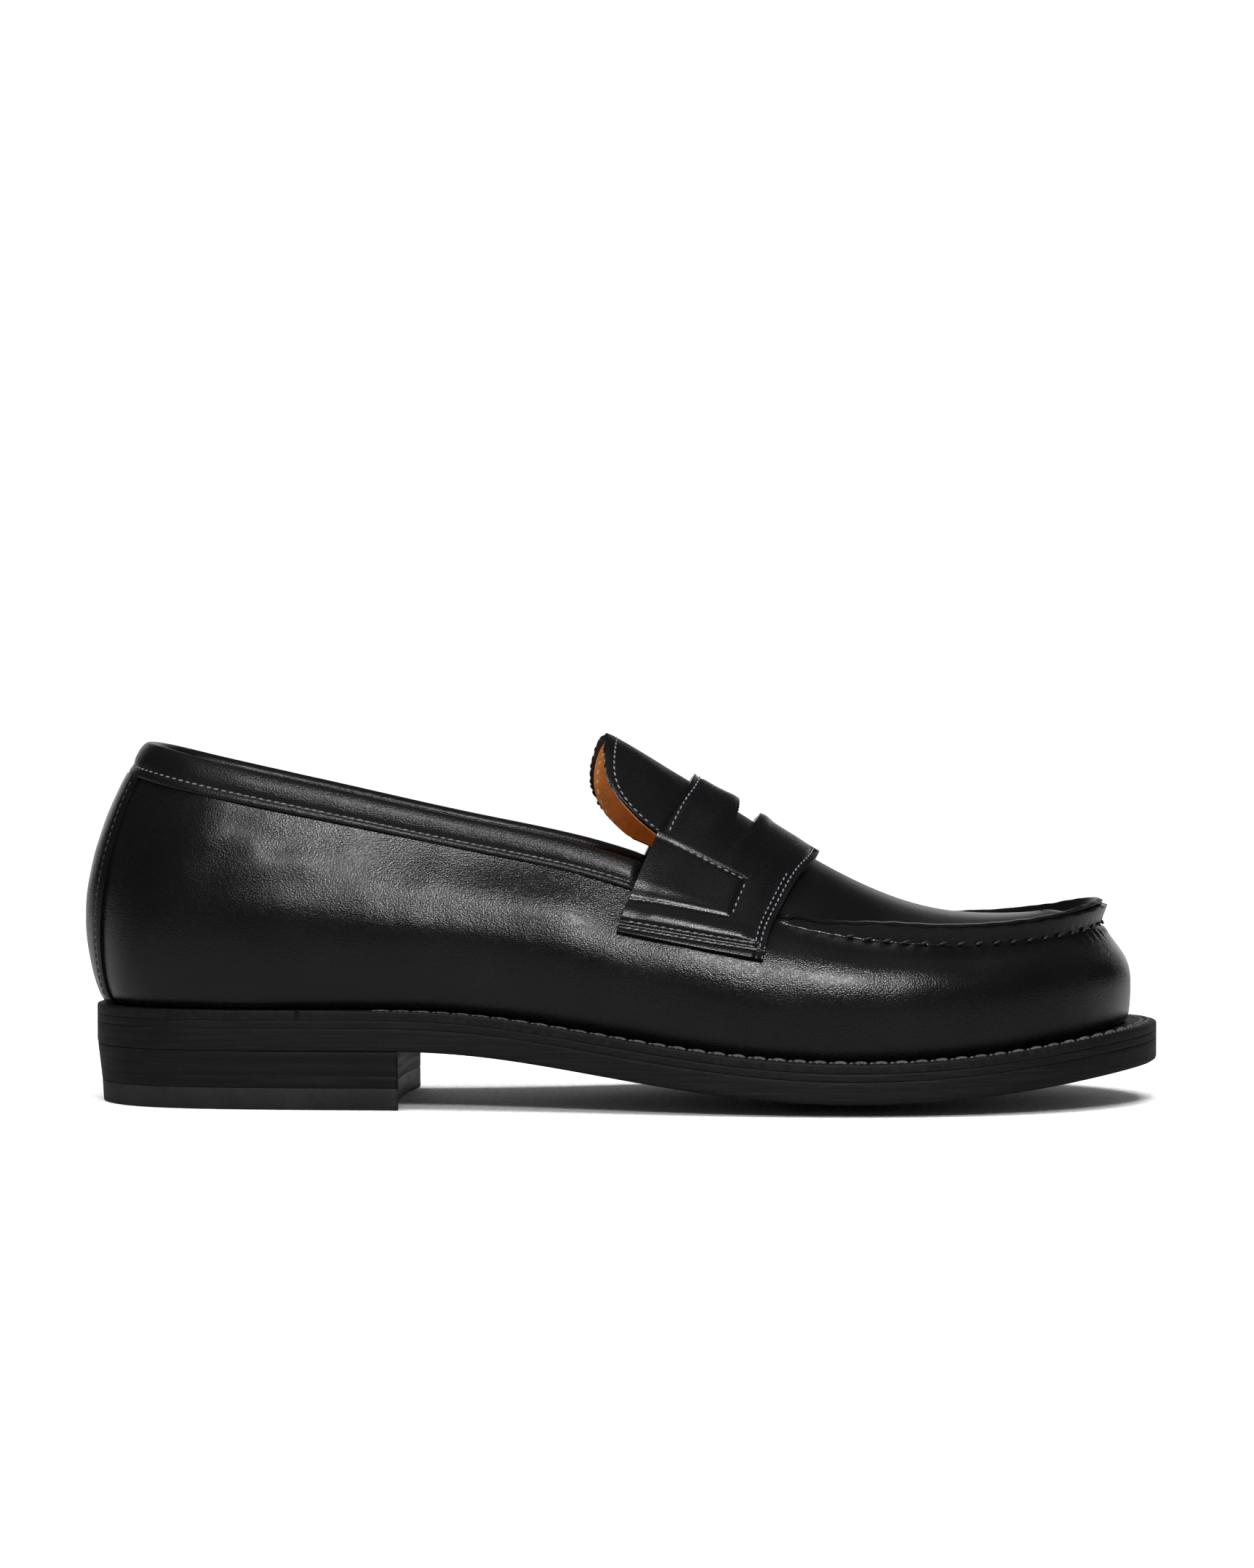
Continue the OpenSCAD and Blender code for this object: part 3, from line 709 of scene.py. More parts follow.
def finishes():
    """All materials, made once per run from the panel's settings."""
    if FINISHES:
        return FINISHES
    s = bpy.context.scene.loafer_looks
    black = list(s.calf_colour)
    ink = list(s.edge_colour)
    tan = list(s.tan_colour)
    FINISHES.update(
        calf=calf_finish("calf_black", black, s.calf_roughness),
        strap=calf_finish("calf_black_strap", black, s.calf_roughness + 0.03, 0.6, 0.1),
        apron=calf_finish("calf_black_apron", black, s.calf_roughness + 0.10, 0.5, 0.1),
        collar=calf_finish("calf_black_collar", black, s.calf_roughness + 0.10, 1.3),
        lining=lining_finish("lining_black", [0.012, 0.011, 0.010], [0.035, 0.032, 0.03], 0.42),
        tan=lining_finish("lining_tan", tan, [min(1, c * 1.5 + 0.02) for c in tan], 0.45),
        natural=lining_finish("insole_leather", [0.42, 0.27, 0.15], [0.55, 0.38, 0.23], 0.6),
        edge=edge_finish("sole_edge", ink),
        stack=edge_finish("heel_stack", ink, (45.0, 45.0, 1500.0)),
        welt=edge_finish("welt_top", ink, (500.0, 500.0, 500.0)),
        rubber=rubber_finish("heel_rubber", [0.005, 0.005, 0.005]),
        grey=thread_finish("thread_grey", list(s.thread_colour), [c * 3 for c in s.thread_colour]),
        dark=thread_finish("thread_black", [0.008, 0.008, 0.009], [0.03, 0.03, 0.034]),
        welt_thread=thread_finish("thread_welt", [0.016, 0.0165, 0.018], [0.075, 0.078, 0.086]),
        pale=thread_finish("thread_pale", [0.55, 0.42, 0.24], [0.8, 0.68, 0.46]),
        canvas=cloth_finish("canvas", [0.42, 0.36, 0.26], [0.62, 0.56, 0.44]),
        cork=cork_finish("cork", [0.4, 0.24, 0.12], [0.14, 0.07, 0.03]),
        board=cork_finish("leather_board", [0.36, 0.26, 0.16], [0.26, 0.18, 0.11]),
        steel=metal_finish("shank_steel", [0.55, 0.56, 0.58], 0.3),
        brass=metal_finish("nail_brass", [0.75, 0.58, 0.28], 0.32),
        floor=floor_finish("studio_floor", list(s.floor_colour)),
    )
    return FINISHES


# ---------------------------------------------------------------- settings


class LoaferLooks(bpy.types.PropertyGroup):
    calf_colour: FloatVectorProperty(
        name="Calf colour",
        description="Colour of the polished upper leather",
        subtype="COLOR", size=3, default=(0.002, 0.002, 0.0023),
    )
    calf_roughness: FloatProperty(
        name="Calf roughness",
        description="0 is mirror polish, 1 is matt",
        default=0.17, min=0.05, max=1.0, subtype="FACTOR",
    )
    edge_colour: FloatVectorProperty(
        name="Edge ink",
        description="Colour of the inked sole and heel edges",
        subtype="COLOR", size=3, default=(0.003, 0.0028, 0.0028),
    )
    tan_colour: FloatVectorProperty(
        name="Tan lining",
        description="Colour of the tongue lining and sock",
        subtype="COLOR", size=3, default=(0.46, 0.17, 0.035),
    )
    thread_colour: FloatVectorProperty(
        name="Thread",
        description="Colour of the upper's visible stitches",
        subtype="COLOR", size=3, default=(0.055, 0.058, 0.064),
    )
    floor_colour: FloatVectorProperty(
        name="Floor",
        description="Colour of the studio floor",
        subtype="COLOR", size=3, default=(0.92, 0.92, 0.92),
    )


class LoaferSizes(bpy.types.PropertyGroup):
    stitch_pitch: FloatProperty(
        name="Stitch pitch",
        description="Length from one upper stitch to the next",
        default=2.1 * MM, min=0.001, max=0.005, unit="LENGTH",
    )
    welt_pitch: FloatProperty(
        name="Welt stitch pitch",
        description="Length from one welt stitch to the next",
        default=5.4 * MM, min=0.002, max=0.01, unit="LENGTH",
    )
    lip_pitch: FloatProperty(
        name="Apron stitch pitch",
        description="Length from one apron seam stitch to the next",
        default=5.0 * MM, min=0.002, max=0.01, unit="LENGTH",
    )
    unevenness: FloatProperty(
        name="Unevenness",
        description="How far the lasted leather waves in and out",
        default=0.32 * MM, min=0.0, max=0.001, unit="LENGTH",
    )


def sizes():
    return bpy.context.scene.loafer_sizes


def mm(length):
    return length / MM


# ---------------------------------------------------------------- pieces


def lasted(u, v, d):
    """The upper's outer surface with its soft hand-lasted unevenness."""
    u, v, d = same_size(u, v, d)
    points = skin(u, v, 0.0)
    depth = mm(sizes().unevenness)
    wave = roughness_field(points, 22.0, depth, 3.1) + roughness_field(points, 9.0, depth * 0.35, 7.7)
    creases = bell(v, 5.0, 0.5) * bell(near(u), 2.3, 1.0) * roughness_field(
        points * (0.6, 1, 1), 6.5, 1.6 * depth, 5.0
    )
    shoulder = 1.35 * bell(v, 5.0, 0.55) * bell(near(u), 4.2, 1.1) * (1 - ease(4.7, 5.1, near(u)))
    inset = ease(0.0, 2.2, v)
    return d + (wave + creases + shoulder) * inset


class LOAFER_OT_side_wall(bpy.types.Operator):
    """One-piece wall of the upper with its edge turned up at the apron seam"""

    bl_idname = "loafer.side_wall"
    bl_label = "Side wall"

    def execute(self, context):
        pitch = mm(sizes().lip_pitch)

        def place(s, q):
            u = mix(0.012, COLUMNS - 0.012, s)
            body = q < 0.84
            v = q / 0.84 * edge_v(u, -2.6)
            d = lasted(u, np.minimum(v, 6), 0.0)
            way = 36.0 * (u - 10) / pitch
            on = lip_on(u)
            puff = 0.5 + 0.5 * np.cos(2 * np.pi * way)
            d = d + 0.28 * on * puff * bell(v, edge_v(u, -3.6), 0.16)
            side = skin(u, v, d)
            r = np.clip((q - 0.84) / 0.16, 0, 1)
            arc = np.minimum(r / 0.4, 1) * np.pi / 2
            rag = roughness_field(skin(u, v, 0.0), 5.0, 0.25)
            tall = lip(u) + 0.12 * np.cos(2 * np.pi * way * 0.5 + 1) + rag
            h = 0.8 * (1 - np.cos(arc)) + np.clip((r - 0.4) / 0.6, 0, 1) * (tall - 0.8)
            a = -2.6 + 1.05 * np.sin(arc) - 0.3 * on * puff * bell(r, 0.42, 0.16) + LEAN * h
            base = lasted(u, 6 + 0 * u, 0.0) * (1 - on)
            turned = along_edge(u, mix(-2.6 + 2.6 * r, a, on), mix(base, h, on))
            return np.where(body[:, None], side, turned)

        bm = grid(640, 62, place)
        finish(
            bm, "calf_side_wall", "shoe", finishes()["calf"], ["side_wall"], thickness=1.42,
            bevel=0.3, segments=2
        )
        return {"FINISHED"}


class LOAFER_OT_apron(bpy.types.Operator):
    """Top piece of the forefoot, its edge turned up against the wall's"""

    bl_idname = "loafer.apron"
    bl_label = "Apron"

    def execute(self, context):
        def place(s, q):
            u = mix(STRAP_START, COLUMNS - STRAP_START, s)
            on = lip_on(u)
            r = np.clip(q / 0.2, 0, 1)
            arc = np.clip((r - 0.6) / 0.4, 0, 1) * np.pi / 2
            tall = lip(u) + roughness_field(skin(u, 6.0 + 0 * u, 0.0), 4.0, 0.22, 9.0)
            h = np.where(r < 0.6, tall + (0.8 - tall) * r / 0.6, 0.8 * (1 - np.sin(arc)))
            a = LIP_HALF + 1.05 * (1 - np.cos(arc)) + LEAN * h
            turned = seam(u, mix(0.2 + 2.4 * r, a, on), mix(0.0, h, on))
            start = edge_v(u, 2.6)
            v = start + (8 - start) * np.clip((q - 0.2) / 0.8, 0, 1)
            dip = -0.55 * on * bell(v, 6.9, 0.55)
            crown = skin(u, v, dip + 0.5 * roughness_field(skin(u, v, 0.0), 16.0, 0.15, 2.0) * (8 - v))
            return np.where((q < 0.2)[:, None], turned, crown)

        bm = grid(400, 56, place)
        finish(
            bm, "calf_apron", "shoe", finishes()["apron"], ["apron"], thickness=1.42,
            bevel=0.3, segments=2
        )
        return {"FINISHED"}


def row_groove(a, w):
    """Depth that the stitch rows pull into the strap, in mm."""
    w = abs(w)
    deep = bell((a - 0.035) * 40, 0, 0.9) * (w < 0.41)
    deep = deep + bell((a - 0.955) * 40, 0, 0.9) * (w > 0.02)
    deep = deep + bell((w - 0.935) * 60, 0, 0.9) + bell((w - 0.893) * 60, 0, 0.9) * (a < 0.95)
    deep = deep + bell((w - 0.442) * 60, 0, 0.9) * (a < 0.69)
    deep = deep + bell((w - mix(0.755, 0.695, a)) * 60, 0, 0.9) * (a < 0.7)
    deep = deep + bell((a - mix(0.675, 0.705, (w - 0.442) / 0.25)) * 40, 0, 0.9) * (w > 0.44) * (w < 0.7)
    return np.minimum(deep, 1.2)


def in_slot(at):
    """True for a place on the strap well inside its outline, where only the slot can have a rim."""
    return 0.01 < at[0] < 0.99 and 0.2 < at[1] < 0.8


class LOAFER_OT_saddle_strap(bpy.types.Operator):
    """Strap across the instep with its slot, stitched down on both sides"""

    bl_idname = "loafer.saddle_strap"
    bl_label = "Saddle strap"

    def execute(self, context):
        def place(a, q):
            w = (2 * q - 1) * mix(0.964, 0.988, a)
            u, v = strap_uv(a, w)
            rim = np.minimum(np.minimum(a, 1 - a) * 40, (0.5 - abs(q - 0.5)) * 118)
            slot = bell(w, 0, 0.26) * (bell(a, 0.29, 0.07) + bell(a, 0.53, 0.05)) * 0.5
            panel = 0.25 * ease(0.44, 0.5, abs(w)) * (1 - ease(0.64, 0.7, abs(w))) * (1 - ease(0.6, 0.7, a))
            band = 0.45 * bell((abs(w) - 0.825) * 60, 0, 3.2) * (1 - ease(0.8, 0.93, a))
            bulge = 0.25 + 0.25 * ease(3.0, 9.0, rim) + panel + band + slot + 0.7 * bell(w, 0, 0.3)
            d = STRAP_TOP - 0.35 + bulge - 0.42 * row_groove(a, w)
            d = d + roughness_field(skin(u, v, 0.0), 12.0, 0.18, 4.0)
            return skin(u, v, d)

        bm = grid(120, 360, place)
        uv = bm.loops.layers.uv.active
        holes = []
        for face in bm.faces:
            x, y = (sum(loop[uv].uv[c] for loop in face.loops) / len(face.loops) for c in (0, 1))
            w = abs(2 * y - 1) * 0.975
            low, high = mix(0.322, 0.384, w / 0.2), mix(0.482, 0.512, ease(0.08, 0.21, w))
            end = 0.205 - 0.03 * (2 * (x - low) / (high - low) - 1) ** 2
            if low < x < high and w < end:
                holes.append(face)
        bmesh.ops.delete(bm, geom=holes, context="FACES")
        rim = [v for v in bm.verts if v.is_boundary and all(in_slot(loop[uv].uv) for loop in v.link_loops)]
        for _ in range(3):
            bmesh.ops.smooth_vert(
                bm, verts=rim, factor=0.5, use_axis_x=True, use_axis_y=True, use_axis_z=True
            )
        finish(
            bm, "calf_strap", "shoe", finishes()["strap"], ["saddle_strap"], thickness=1.75,
            bevel=0.45, segments=3
        )
        return {"FINISHED"}


class LOAFER_OT_tongue(bpy.types.Operator):
    """Tongue leather and its tan lining"""

    bl_idname = "loafer.tongue"
    bl_label = "Tongue"

    def execute(self, context):
        def leather(s, q):
            u, v = tongue_uv(s, 2 * q - 1, under=0.05)
            rim = np.minimum(s * 30, (0.5 - abs(q - 0.5)) * 60)
            d = -0.1 - 0.2 * (1 - ease(0, 1.5, rim)) + roughness_field(skin(u, v, 0.0), 9.0, 0.2, 6.0)
            ragged = roughness_field(skin(u, v, 0.0), 0.5, 0.013, 8.0) * (s < 0.01)
            return skin(u + ragged * np.where(q > 0.5, -1, 1), v, d)

        def lining(s, q):
            u, v = tongue_uv(s, (2 * q - 1) * 0.975, under=0.05, trim=0.03)
            return skin(u, v, -LEATHER - 0.02 + roughness_field(skin(u, v, 0.0), 9.0, 0.15, 6.0))

        looks = finishes()
        outer = finish(
            grid(50, 260, leather), "calf_tongue", None, looks["calf"], ["tongue"],
            thickness=1.4, bevel=0.25, segments=2,
        )
        inner = finish(
            grid(48, 120, lining), "tan_tongue_lining", None, looks["tan"], ["tongue_lining"],
            thickness=0.8,
        )
        bend_at_strap(outer)
        bend_at_strap(inner)
        return {"FINISHED"}


def bend_at_strap(piece):
    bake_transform(piece)


COLLAR_LOOP = [
    (-9.0, 0.12), (-9.15, 0.5), (-8.9, 0.95), (-8.2, 1.15), (-7.4, 1.1), (-6.8, 0.72), (-6.2, 1.1),
    (-5.2, 1.5), (-3.8, 1.75),
    (-2.2, 1.85), (-0.9, 1.7), (0.1, 1.3), (0.7, 0.6), (0.95, -0.3), (0.95, -1.3), (0.7, -2.1), (0.0, -2.7),
    (-1.2, -2.95),
    (-3.0, -2.95), (-4.8, -2.75), (-5.1, -2.3), (-4.9, -1.85), (-2.5, -1.75), (-0.2, -1.7), (0.15, -0.9),
    (0.1, 0.0),
    (-2.5, 0.12), (-6.0, 0.12),
]


class LOAFER_OT_collar(bpy.types.Operator):
    """Padded band folded over the opening's edge"""

    bl_idname = "loafer.collar"
    bl_label = "Collar band"

    def execute(self, context):
        loop = np.array(COLLAR_LOOP + COLLAR_LOOP[:1], float)
        way = np.concatenate([[0], np.cumsum(np.linalg.norm(np.diff(loop, axis=0), axis=1))])

        def place(s, q):
            u = mix(-5.17, 5.17, s)
            x = q * way[-1]
            a, d = np.interp(x, way, loop[:, 0]), np.interp(x, way, loop[:, 1])
            thin = 1 - ease(5.12, 5.165, abs(u))
            d = np.where(d > 0.2, 0.15 + (d - 0.15) * mix(0.12, 1.0, thin), d)
            ripple = roughness_field(skin(u, 6.0 + 0 * u, 0.0) + np.stack([a, d, a], 1) * 0.5, 7.0, 0.1, 1.0)
            return along_edge(u, a, d + ripple * np.where(d > 0.3, 1, 0))

        piece = finish(
            grid(420, 72, place), "calf_collar", "shoe", finishes()["collar"],
            ["topline_collar"], fill=True
        )
        return {"FINISHED"}


class LOAFER_OT_back_strip(bpy.types.Operator):
    """Strip that covers the heel seam"""

    bl_idname = "loafer.back_strip"
    bl_label = "Back strip"

    def execute(self, context):
        def place(s, q):
            v = mix(1.95, 5.55, q)
            half = mix(0.61, 0.77, ease(2.2, 4.6, v))
            u = half * (2 * s - 1)
            rim = (1 - abs(2 * s - 1)) * 13
            d = 0.75 + 0.5 * ease(0, 1.4, rim) - 0.22 * bell(rim, 2.0, 0.5)
            return skin(u, v, d + roughness_field(skin(u, v, 0.0), 8.0, 0.12, 2.5))

        finish(
            grid(60, 130, place), "calf_back_strip", "shoe", finishes()["calf"],
            ["back_strip"], thickness=1.0, bevel=0.35
        )
        return {"FINISHED"}


class LOAFER_OT_linings(bpy.types.Operator):
    """Quarter lining, vamp lining and sock lining"""

    bl_idname = "loafer.linings"
    bl_label = "Linings"

    def execute(self, context):
        def quarter(s, q):
            u = mix(-5.14, 5.14, s)
            v = q * edge_v(u, -5.4)
            d = -1.82 - pad(u, v) + ease(0.5, 2.5, v) * roughness_field(skin(u, v, 0.0), 14.0, 0.2, 5.5)
            return skin(u, v, d)

        def vamp(s, q):
            u = mix(5.22, COLUMNS - 5.22, s)
            v = 8 * q
            return skin(u, v, -1.85 - pad(u, v))

        rows = [
            (4.9, SOCK_LOW), (4.9, SOCK_LOW + 1.0), (5.4, SOCK_LOW + 1.2), (9, SOCK_LOW + 1.2),
            (20, SOCK_LOW + 1.2), (SPINE, SOCK_LOW + 1.2)
        ]
        finish(
            grid(300, 44, quarter), "lining_quarter", "shoe", finishes()["lining"],
            ["quarter_lining"], thickness=0.9
        )
        finish(
            grid(200, 44, vamp), "lining_vamp", "shoe", finishes()["canvas"], ["vamp_lining"],
            thickness=0.9
        )
        sole = grid(240, 20, ring_profile((0, COLUMNS), rows))
        bmesh.ops.remove_doubles(sole, verts=sole.verts, dist=2e-6)
        finish(sole, "sock_insole", "shoe", finishes()["tan"], ["sock_lining"], fill=True)
        return {"FINISHED"}


class LOAFER_OT_sole(bpy.types.Operator):
    """Outsole, midsole, welt and heel rand with their trimmed edges"""

    bl_idname = "loafer.sole"
    bl_label = "Sole layers"

    def execute(self, context):
        edge = finishes()["edge"]
        whole = (0, COLUMNS)
        outsole = [
            (SPINE, OUT_TOP), (20, OUT_TOP), (9, OUT_TOP), (0, OUT_TOP), (-0.97, OUT_TOP),
            (-0.99, OUT_TOP - 0.04), (-1, OUT_TOP - 0.12),
            (-1, OUT_TOP - 3), (-1, OUT_LOW + 1.1), (-0.97, OUT_LOW + 0.45), (-0.88, OUT_LOW), (0, OUT_LOW),
            (9, OUT_LOW), (20, OUT_LOW),
            (SPINE, OUT_LOW),
        ]
        midsole = [
            (SPINE, MID_TOP), (20, MID_TOP), (9, MID_TOP), (0, MID_TOP), (-0.97, MID_TOP),
            (-0.99, MID_TOP - 0.04), (-1, MID_TOP - 0.12),
            (-1, MID_LOW + 0.12), (-0.99, MID_LOW + 0.04), (-0.97, MID_LOW), (0, MID_LOW), (9, MID_LOW),
            (20, MID_LOW), (SPINE, MID_LOW),
        ]
        strip = [
            (7, WELT_LOW), (7, WELT_TOP), (3, WELT_TOP), (0, WELT_TOP), (-0.3, WELT_TOP), (-0.8, WELT_TOP),
            (-0.93, WELT_TOP - 0.12),
            (-0.99, WELT_TOP - 0.45), (-1, WELT_TOP - 1.0), (-1, WELT_LOW + 0.12), (-0.99, WELT_LOW + 0.04),
            (-0.97, WELT_LOW), (0, WELT_LOW),
            (7, WELT_LOW),
        ]
        welt = finishes()["welt"]
        for node, across, reach, rows, look, fill in (
            ("outsole", 42, whole, outsole, edge, False),
            ("midsole", 39, whole, midsole, edge, False),
            ("welt", 39, (WELT_END, COLUMNS - WELT_END), strip, welt, True),
            ("heel_rand", 39, (-WELT_END, WELT_END), strip, welt, True),
        ):
            bm = grid(160 if node == "heel_rand" else 420, across, ring_profile(reach, rows))
            finish(bm, "sole_" + node, "shoe", look, [node], fill=fill)
        return {"FINISHED"}


def heel_outline(inset, count=96):
    """Plan of the heel, breast included, as count points in mm."""
    u = np.linspace(-3.58, 3.5, 80)
    p, q = on_line(ring_line(-1), u)[:, :2], on_line(ring_line(9), u)[:, :2]
    rear = p + (q - p) / np.linalg.norm(q - p, axis=1, keepdims=True) * inset
    t = np.linspace(0, 1, 16)[1:-1, None]
    breast = rear[-1] * (1 - t) + rear[0] * t - np.array((10.0, 0.0)) * t * (1 - t)
    loop = np.concatenate([rear, breast, rear[:1]])
    way = np.concatenate([[0], np.cumsum(np.linalg.norm(np.diff(loop, axis=0), axis=1))])
    corners = [0.0, way[79], way[-1]]
    first = int(round(count * corners[1] / way[-1]))
    at = np.concatenate(
        [
            np.linspace(0, corners[1], first, endpoint=False),
            np.linspace(corners[1], way[-1], count - first, endpoint=False)
        ]
    )
    return np.stack([np.interp(at, way, loop[:, 0]), np.interp(at, way, loop[:, 1])], 1)


def heel_layer(name, nodes, low, high, inset_low, inset_high, material, bevel):
    count = 160
    bm = bmesh.new()
    bmesh.ops.create_circle(bm, cap_ends=True, segments=count, radius=1.0)
    bm.verts.ensure_lookup_table()
    outline = heel_outline(inset_low, count)
    for vert, p in zip(bm.verts, outline):
        vert.co = (p[0] * MM, p[1] * MM, low * MM)
    top = bmesh.ops.extrude_face_region(bm, geom=list(bm.faces))
    raised = [v for v in top["geom"] if isinstance(v, bmesh.types.BMVert)]
    shift = (heel_outline(inset_high, count) - outline) * MM
    order = {tuple(round(c, 9) for c in (p[0] * MM, p[1] * MM)): k for k, p in enumerate(outline)}
    for vert in raised:
        x, y = vert.co.xy
        k = min(order.items(), key=lambda item: (item[0][0] - x) ** 2 + (item[0][1] - y) ** 2)[1]
        vert.co += Vector((shift[k][0], shift[k][1], (high - low) * MM))
    bmesh.ops.recalc_face_normals(bm, faces=bm.faces)
    rims = [e for e in bm.edges if abs(e.verts[0].co.z - e.verts[1].co.z) < 1e-7]
    bmesh.ops.bevel(
        bm, geom=rims, offset=bevel * MM, offset_type="OFFSET", segments=2, profile=0.5, affect="EDGES",
        material=-1
    )
    return finish(bm, name, "shoe", material, nodes)


class LOAFER_OT_heel(bpy.types.Operator):
    """Stacked heel lifts and the rubber top lift"""

    bl_idname = "loafer.heel"
    bl_label = "Heel"

    def execute(self, context):
        stack = finishes()["stack"]
        step = (LIFT_TOP - 6) / 3
        names = (
            ("heel_lift_lower", "stack_lower"), ("heel_lift_middle", "stack_middle"),
            ("heel_lift_upper", "stack_upper")
        )
        for k, (node, name) in enumerate(names):
            low, high = 6 + k * step + 0.005, 6 + (k + 1) * step - 0.005
            if k == 2:
                high += 0.12
            heel_layer(name, [node], low, high, 1.3 - 0.38 * k, 0.92 - 0.38 * k, stack, 0.03)
        piece = heel_layer("stack_top_lift", [], 0.0, 5.98, 1.7, 1.32, finishes()["rubber"], 0.3)
        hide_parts("top_lift")
        return {"FINISHED"}


class LOAFER_OT_welt_stitches(bpy.types.Operator):
    """Heavy stitches along the top of the welt"""

    bl_idname = "loafer.welt_stitches"
    bl_label = "Welt stitches"

    def execute(self, context):
        bm = bmesh.new()
        u = np.linspace(3.3, 16.7, 900)
        swell = mix(0.55, 1.0, ease(0, 3.0, 6.7 - abs(u - 10)))
        up = np.tile((0.0, 0.0, 1.0), (len(u), 1))
        pitch = mm(sizes().welt_pitch)
        for share, length, width, height, phase in ((-0.5, 4.3, 1.5, 1.3, 0.0), (-0.72, 1.6, 0.9, 1.0, 0.25)):
            points = on_line(ring_line(share), u) + (0, 0, WELT_TOP)
            gap = pitch if phase == 0 else pitch / 3
            stitch_row(
                bm, points, up, gap, length, width, height, sink=0.05, lean=0.0 if phase == 0 else 0.7,
                swell=swell
            )
        finish(
            bm, "thread_welt_stitches", "shoe", finishes()["welt_thread"], ["welt_stitching"]
        )
        return {"FINISHED"}


# stops (a, w) of each stitch row on one half of the strap: panel, double bottom rows, front and rear edges
STRAP_ROWS = [
    [(0.035, 0.0), (0.04, 0.2), (0.063, 0.40)],
    [(0.08, 0.435), (0.66, 0.445)],
    [(0.682, 0.46), (0.704, 0.685)],
    [(0.69, 0.696), (0.05, 0.748)],
    [(0.052, 0.76), (0.073, 0.88)],
    [(0.05, 0.893), (0.925, 0.893)],
    [(0.05, 0.935), (0.955, 0.935)],
    [(0.925, 0.885), (0.918, 0.60), (0.912, 0.311)],
    [(0.962, 0.925), (0.957, 0.60), (0.95, 0.25), (0.947, 0.0)],
]


def strap_line(bm, stops, side, **shape):
    """One stitch row through (a, w) stops on the strap."""
    stops = np.array(stops, float)
    t = np.linspace(0, len(stops) - 1, 60 * (len(stops) - 1))
    k = np.arange(len(stops))
    a, w = np.interp(t, k, stops[:, 0]), side * np.interp(t, k, stops[:, 1])
    u, v = strap_uv(a, w)
    surface_row(bm, u, v, STRAP_TOP - 0.22 + 0.7 * bell(w, 0, 0.3), **shape)


class LOAFER_OT_upper_stitches(bpy.types.Operator):
    """Stitch rows of the strap, collar, tongue, apron seam and back strip"""

    bl_idname = "loafer.upper_stitches"
    bl_label = "Upper stitches"

    def execute(self, context):
        pitch = mm(sizes().stitch_pitch)
        fine = {
            "pitch": pitch, "length": pitch * 0.74, "width": 0.52, "height": 0.46, "sink": -0.02,
            "lean": 0.12
        }
        grey = finishes()["grey"]

        bm = bmesh.new()
        for side in (-1, 1):
            for stops in STRAP_ROWS:
                strap_line(bm, stops, side, **fine)
        finish(bm, "thread_strap", "shoe", grey, ["strap_thread"])

        bm = bmesh.new()
        u = np.linspace(-5.05, 5.05, 900)
        points = along_edge(u, -6.8 + 0 * u, 0.82 + 0 * u)
        stitch_row(bm, points, normal_at(u, edge_v(u, -6.8)), **fine)
        finish(bm, "thread_collar", "shoe", grey, ["collar_thread"])

        bm = bmesh.new()
        w = np.linspace(-0.92, 0.92, 260)
        u, v = tongue_uv(0 * w, w, trim=0.055)
        surface_row(bm, u, v, -0.02, **fine)
        piece = finish(bm, "thread_tongue", None, grey, ["tongue_thread"])
        bend_at_strap(piece)
        bm = bmesh.new()
        surface_row(
            bm, u, v, -LEATHER - 0.86, pitch=pitch * 1.5, length=pitch * 0.9, width=0.5, height=0.4,
            sink=0.0
        )
        piece = finish(bm, "thread_tongue_inside", None, finishes()["pale"])
        bend_at_strap(piece)

        bm = bmesh.new()
        step = mm(sizes().lip_pitch)
        u = np.linspace(6.62, 13.38, 1200)
        n = normal_at(u, 6.0 + 0 * u)
        stitch_row(bm, seam(u, -LIP_HALF - 0.32, 0.75), n, step, step * 0.62, 0.75, 1.0, sink=0.0, lean=0.5)
        finish(bm, "thread_apron_seam", "shoe", finishes()["dark"], ["apron_seam_thread"])

        bm = bmesh.new()
        for side in (-1, 1):
            v = np.linspace(2.2, 5.48, 170)
            u = side * (mix(0.61, 0.77, ease(2.2, 4.6, v)) - 0.105)
            surface_row(bm, u, v, 1.12, **fine)
        finish(bm, "thread_back_strip", "shoe", finishes()["dark"], ["back_strip_thread"])
        return {"FINISHED"}


class LOAFER_OT_inside_parts(bpy.types.Operator):
    """Finishes for the pieces that stay hidden inside"""

    bl_idname = "loafer.inside_parts"
    bl_label = "Inside parts"

    def execute(self, context):
        looks = {
            "insole": "natural", "insole_rib": "canvas", "inseam_thread": "pale", "cork_filler": "cork",
            "shank": "steel",
            "heel_counter": "board", "toe_puff": "board", "heel_nails": "brass",
        }
        for node, look in looks.items():
            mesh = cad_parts[node].data
            mesh.materials.clear()
            mesh.materials.append(finishes()[look])
        return {"FINISHED"}


# ---------------------------------------------------------------- studio


# name, place, aim, width and height in metres, power in watts
LIGHTS = (
    ("overhead_gloss", (0.0, -0.1, 1.58), (0, 0, 0), 1.5, 1.0, 0.6),
    ("key_left", (-0.16, -0.72, 0.62), (-0.09, 0, 0.07), 0.10, 0.13, 0.62),
    ("key_right", (0.07, -0.72, 0.60), (0.05, 0, 0.03), 0.12, 0.18, 3.6),
    ("backdrop", (0.1, 1.6, 0.35), (0, 0, 0.05), 2.4, 0.7, 5),
)
CAMERA_PLACE = (0.00141, -1.2, 0.122)
CAMERA_DIP = 1.659
LENS = 99.45


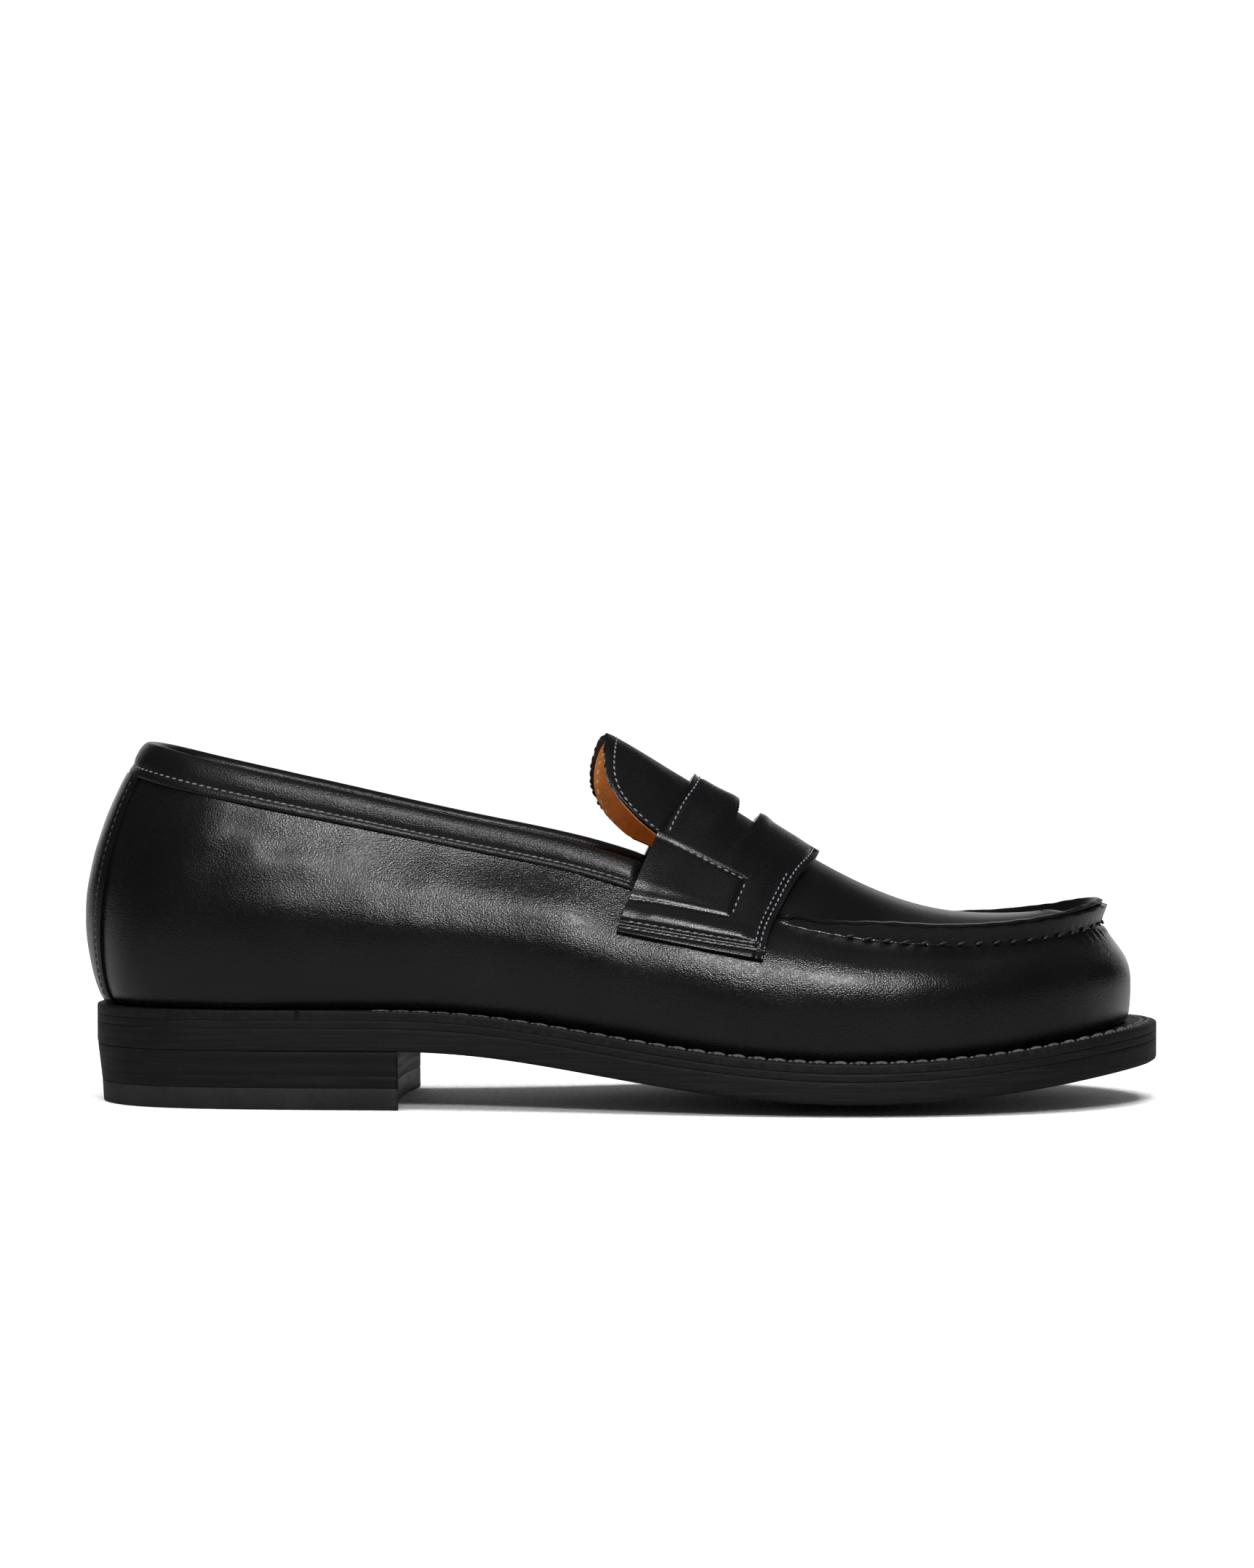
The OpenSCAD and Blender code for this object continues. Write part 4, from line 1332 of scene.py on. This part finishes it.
def soft_light(name, place, aim, width, height, power):
    data = bpy.data.lights.new(name, "AREA")
    data.shape = "RECTANGLE"
    data.size, data.size_y = width, height
    data.energy = power
    lamp = bpy.data.objects.new(name, data)
    lamp.location = place
    lamp.rotation_euler = (Vector(aim) - Vector(place)).to_track_quat("-Z", "Y").to_euler()
    bpy.context.scene.collection.objects.link(lamp)
    return lamp


class LOAFER_OT_studio(bpy.types.Operator):
    """Pale floor, soft lights and the camera"""

    bl_idname = "loafer.studio"
    bl_label = "Studio"

    def execute(self, context):
        scene = context.scene
        bm = bmesh.new()
        bmesh.ops.create_grid(bm, x_segments=1, y_segments=1, size=1.5)
        mesh = bpy.data.meshes.new("studio_floor")
        bm.to_mesh(mesh)
        bm.free()
        mesh.materials.append(finishes()["floor"])
        floor = bpy.data.objects.new("studio_floor", mesh)
        scene.collection.objects.link(floor)

        scene.view_settings.view_transform = "Standard"
        world = bpy.data.worlds.new("studio_air")
        world.use_nodes = True
        tree = world.node_tree
        air = tree.nodes["Background"]
        air.inputs["Color"].default_value = (1.0, 1.0, 1.0, 1.0)
        path = tree.nodes.new("ShaderNodeLightPath")
        seen, gloss = Value(tree, path.outputs["Is Camera Ray"]), Value(tree, path.outputs["Is Glossy Ray"])
        strength = seen * 1.1 + gloss * 0.03 + (1 - seen) * (1 - gloss) * 0.32
        tree.links.new(strength.socket, air.inputs["Strength"])
        scene.world = world

        above = soft_light("overhead", (0.0, -0.1, 1.6), (0, 0, 0), 1.6, 1.6, 62)
        above.visible_glossy = False
        for light in LIGHTS:
            soft_light(*light)

        camera_data = bpy.data.cameras.new("view")
        camera_data.sensor_width = 36.0
        camera_data.lens = LENS
        camera_data.clip_end = 50.0
        camera = bpy.data.objects.new("view", camera_data)
        camera.location = CAMERA_PLACE
        camera.rotation_euler = (math.radians(90 - CAMERA_DIP), 0, 0)
        scene.collection.objects.link(camera)
        scene.camera = camera
        return {"FINISHED"}


STEPS_IN_ORDER = (
    LOAFER_OT_studio, LOAFER_OT_sole, LOAFER_OT_heel, LOAFER_OT_linings, LOAFER_OT_side_wall,
    LOAFER_OT_apron, LOAFER_OT_saddle_strap,
    LOAFER_OT_tongue, LOAFER_OT_collar, LOAFER_OT_back_strip, LOAFER_OT_welt_stitches,
    LOAFER_OT_upper_stitches, LOAFER_OT_inside_parts,
)


class LOAFER_PT_panel(bpy.types.Panel):
    """Sizes, colours and one button for each piece"""

    bl_idname = "LOAFER_PT_panel"
    bl_label = "Penny loafer"
    bl_space_type = "VIEW_3D"
    bl_region_type = "UI"
    bl_category = "Loafer"

    def draw(self, context):
        for group in (context.scene.loafer_looks, context.scene.loafer_sizes):
            for name in group.__annotations__:
                self.layout.prop(group, name)
        for step in STEPS_IN_ORDER:
            self.layout.operator(step.bl_idname)


CLASSES = (LoaferLooks, LoaferSizes, *STEPS_IN_ORDER, LOAFER_PT_panel)


def register():
    for cls in CLASSES:
        bpy.utils.register_class(cls)
    bpy.types.Scene.loafer_looks = PointerProperty(type=LoaferLooks)
    bpy.types.Scene.loafer_sizes = PointerProperty(type=LoaferSizes)


def unregister():
    del bpy.types.Scene.loafer_sizes
    del bpy.types.Scene.loafer_looks
    for cls in reversed(CLASSES):
        bpy.utils.unregister_class(cls)


def main():
    register()
    for step in STEPS_IN_ORDER:
        group, name = step.bl_idname.split(".")
        getattr(getattr(bpy.ops, group), name)()


if __name__ == "__main__":
    main()
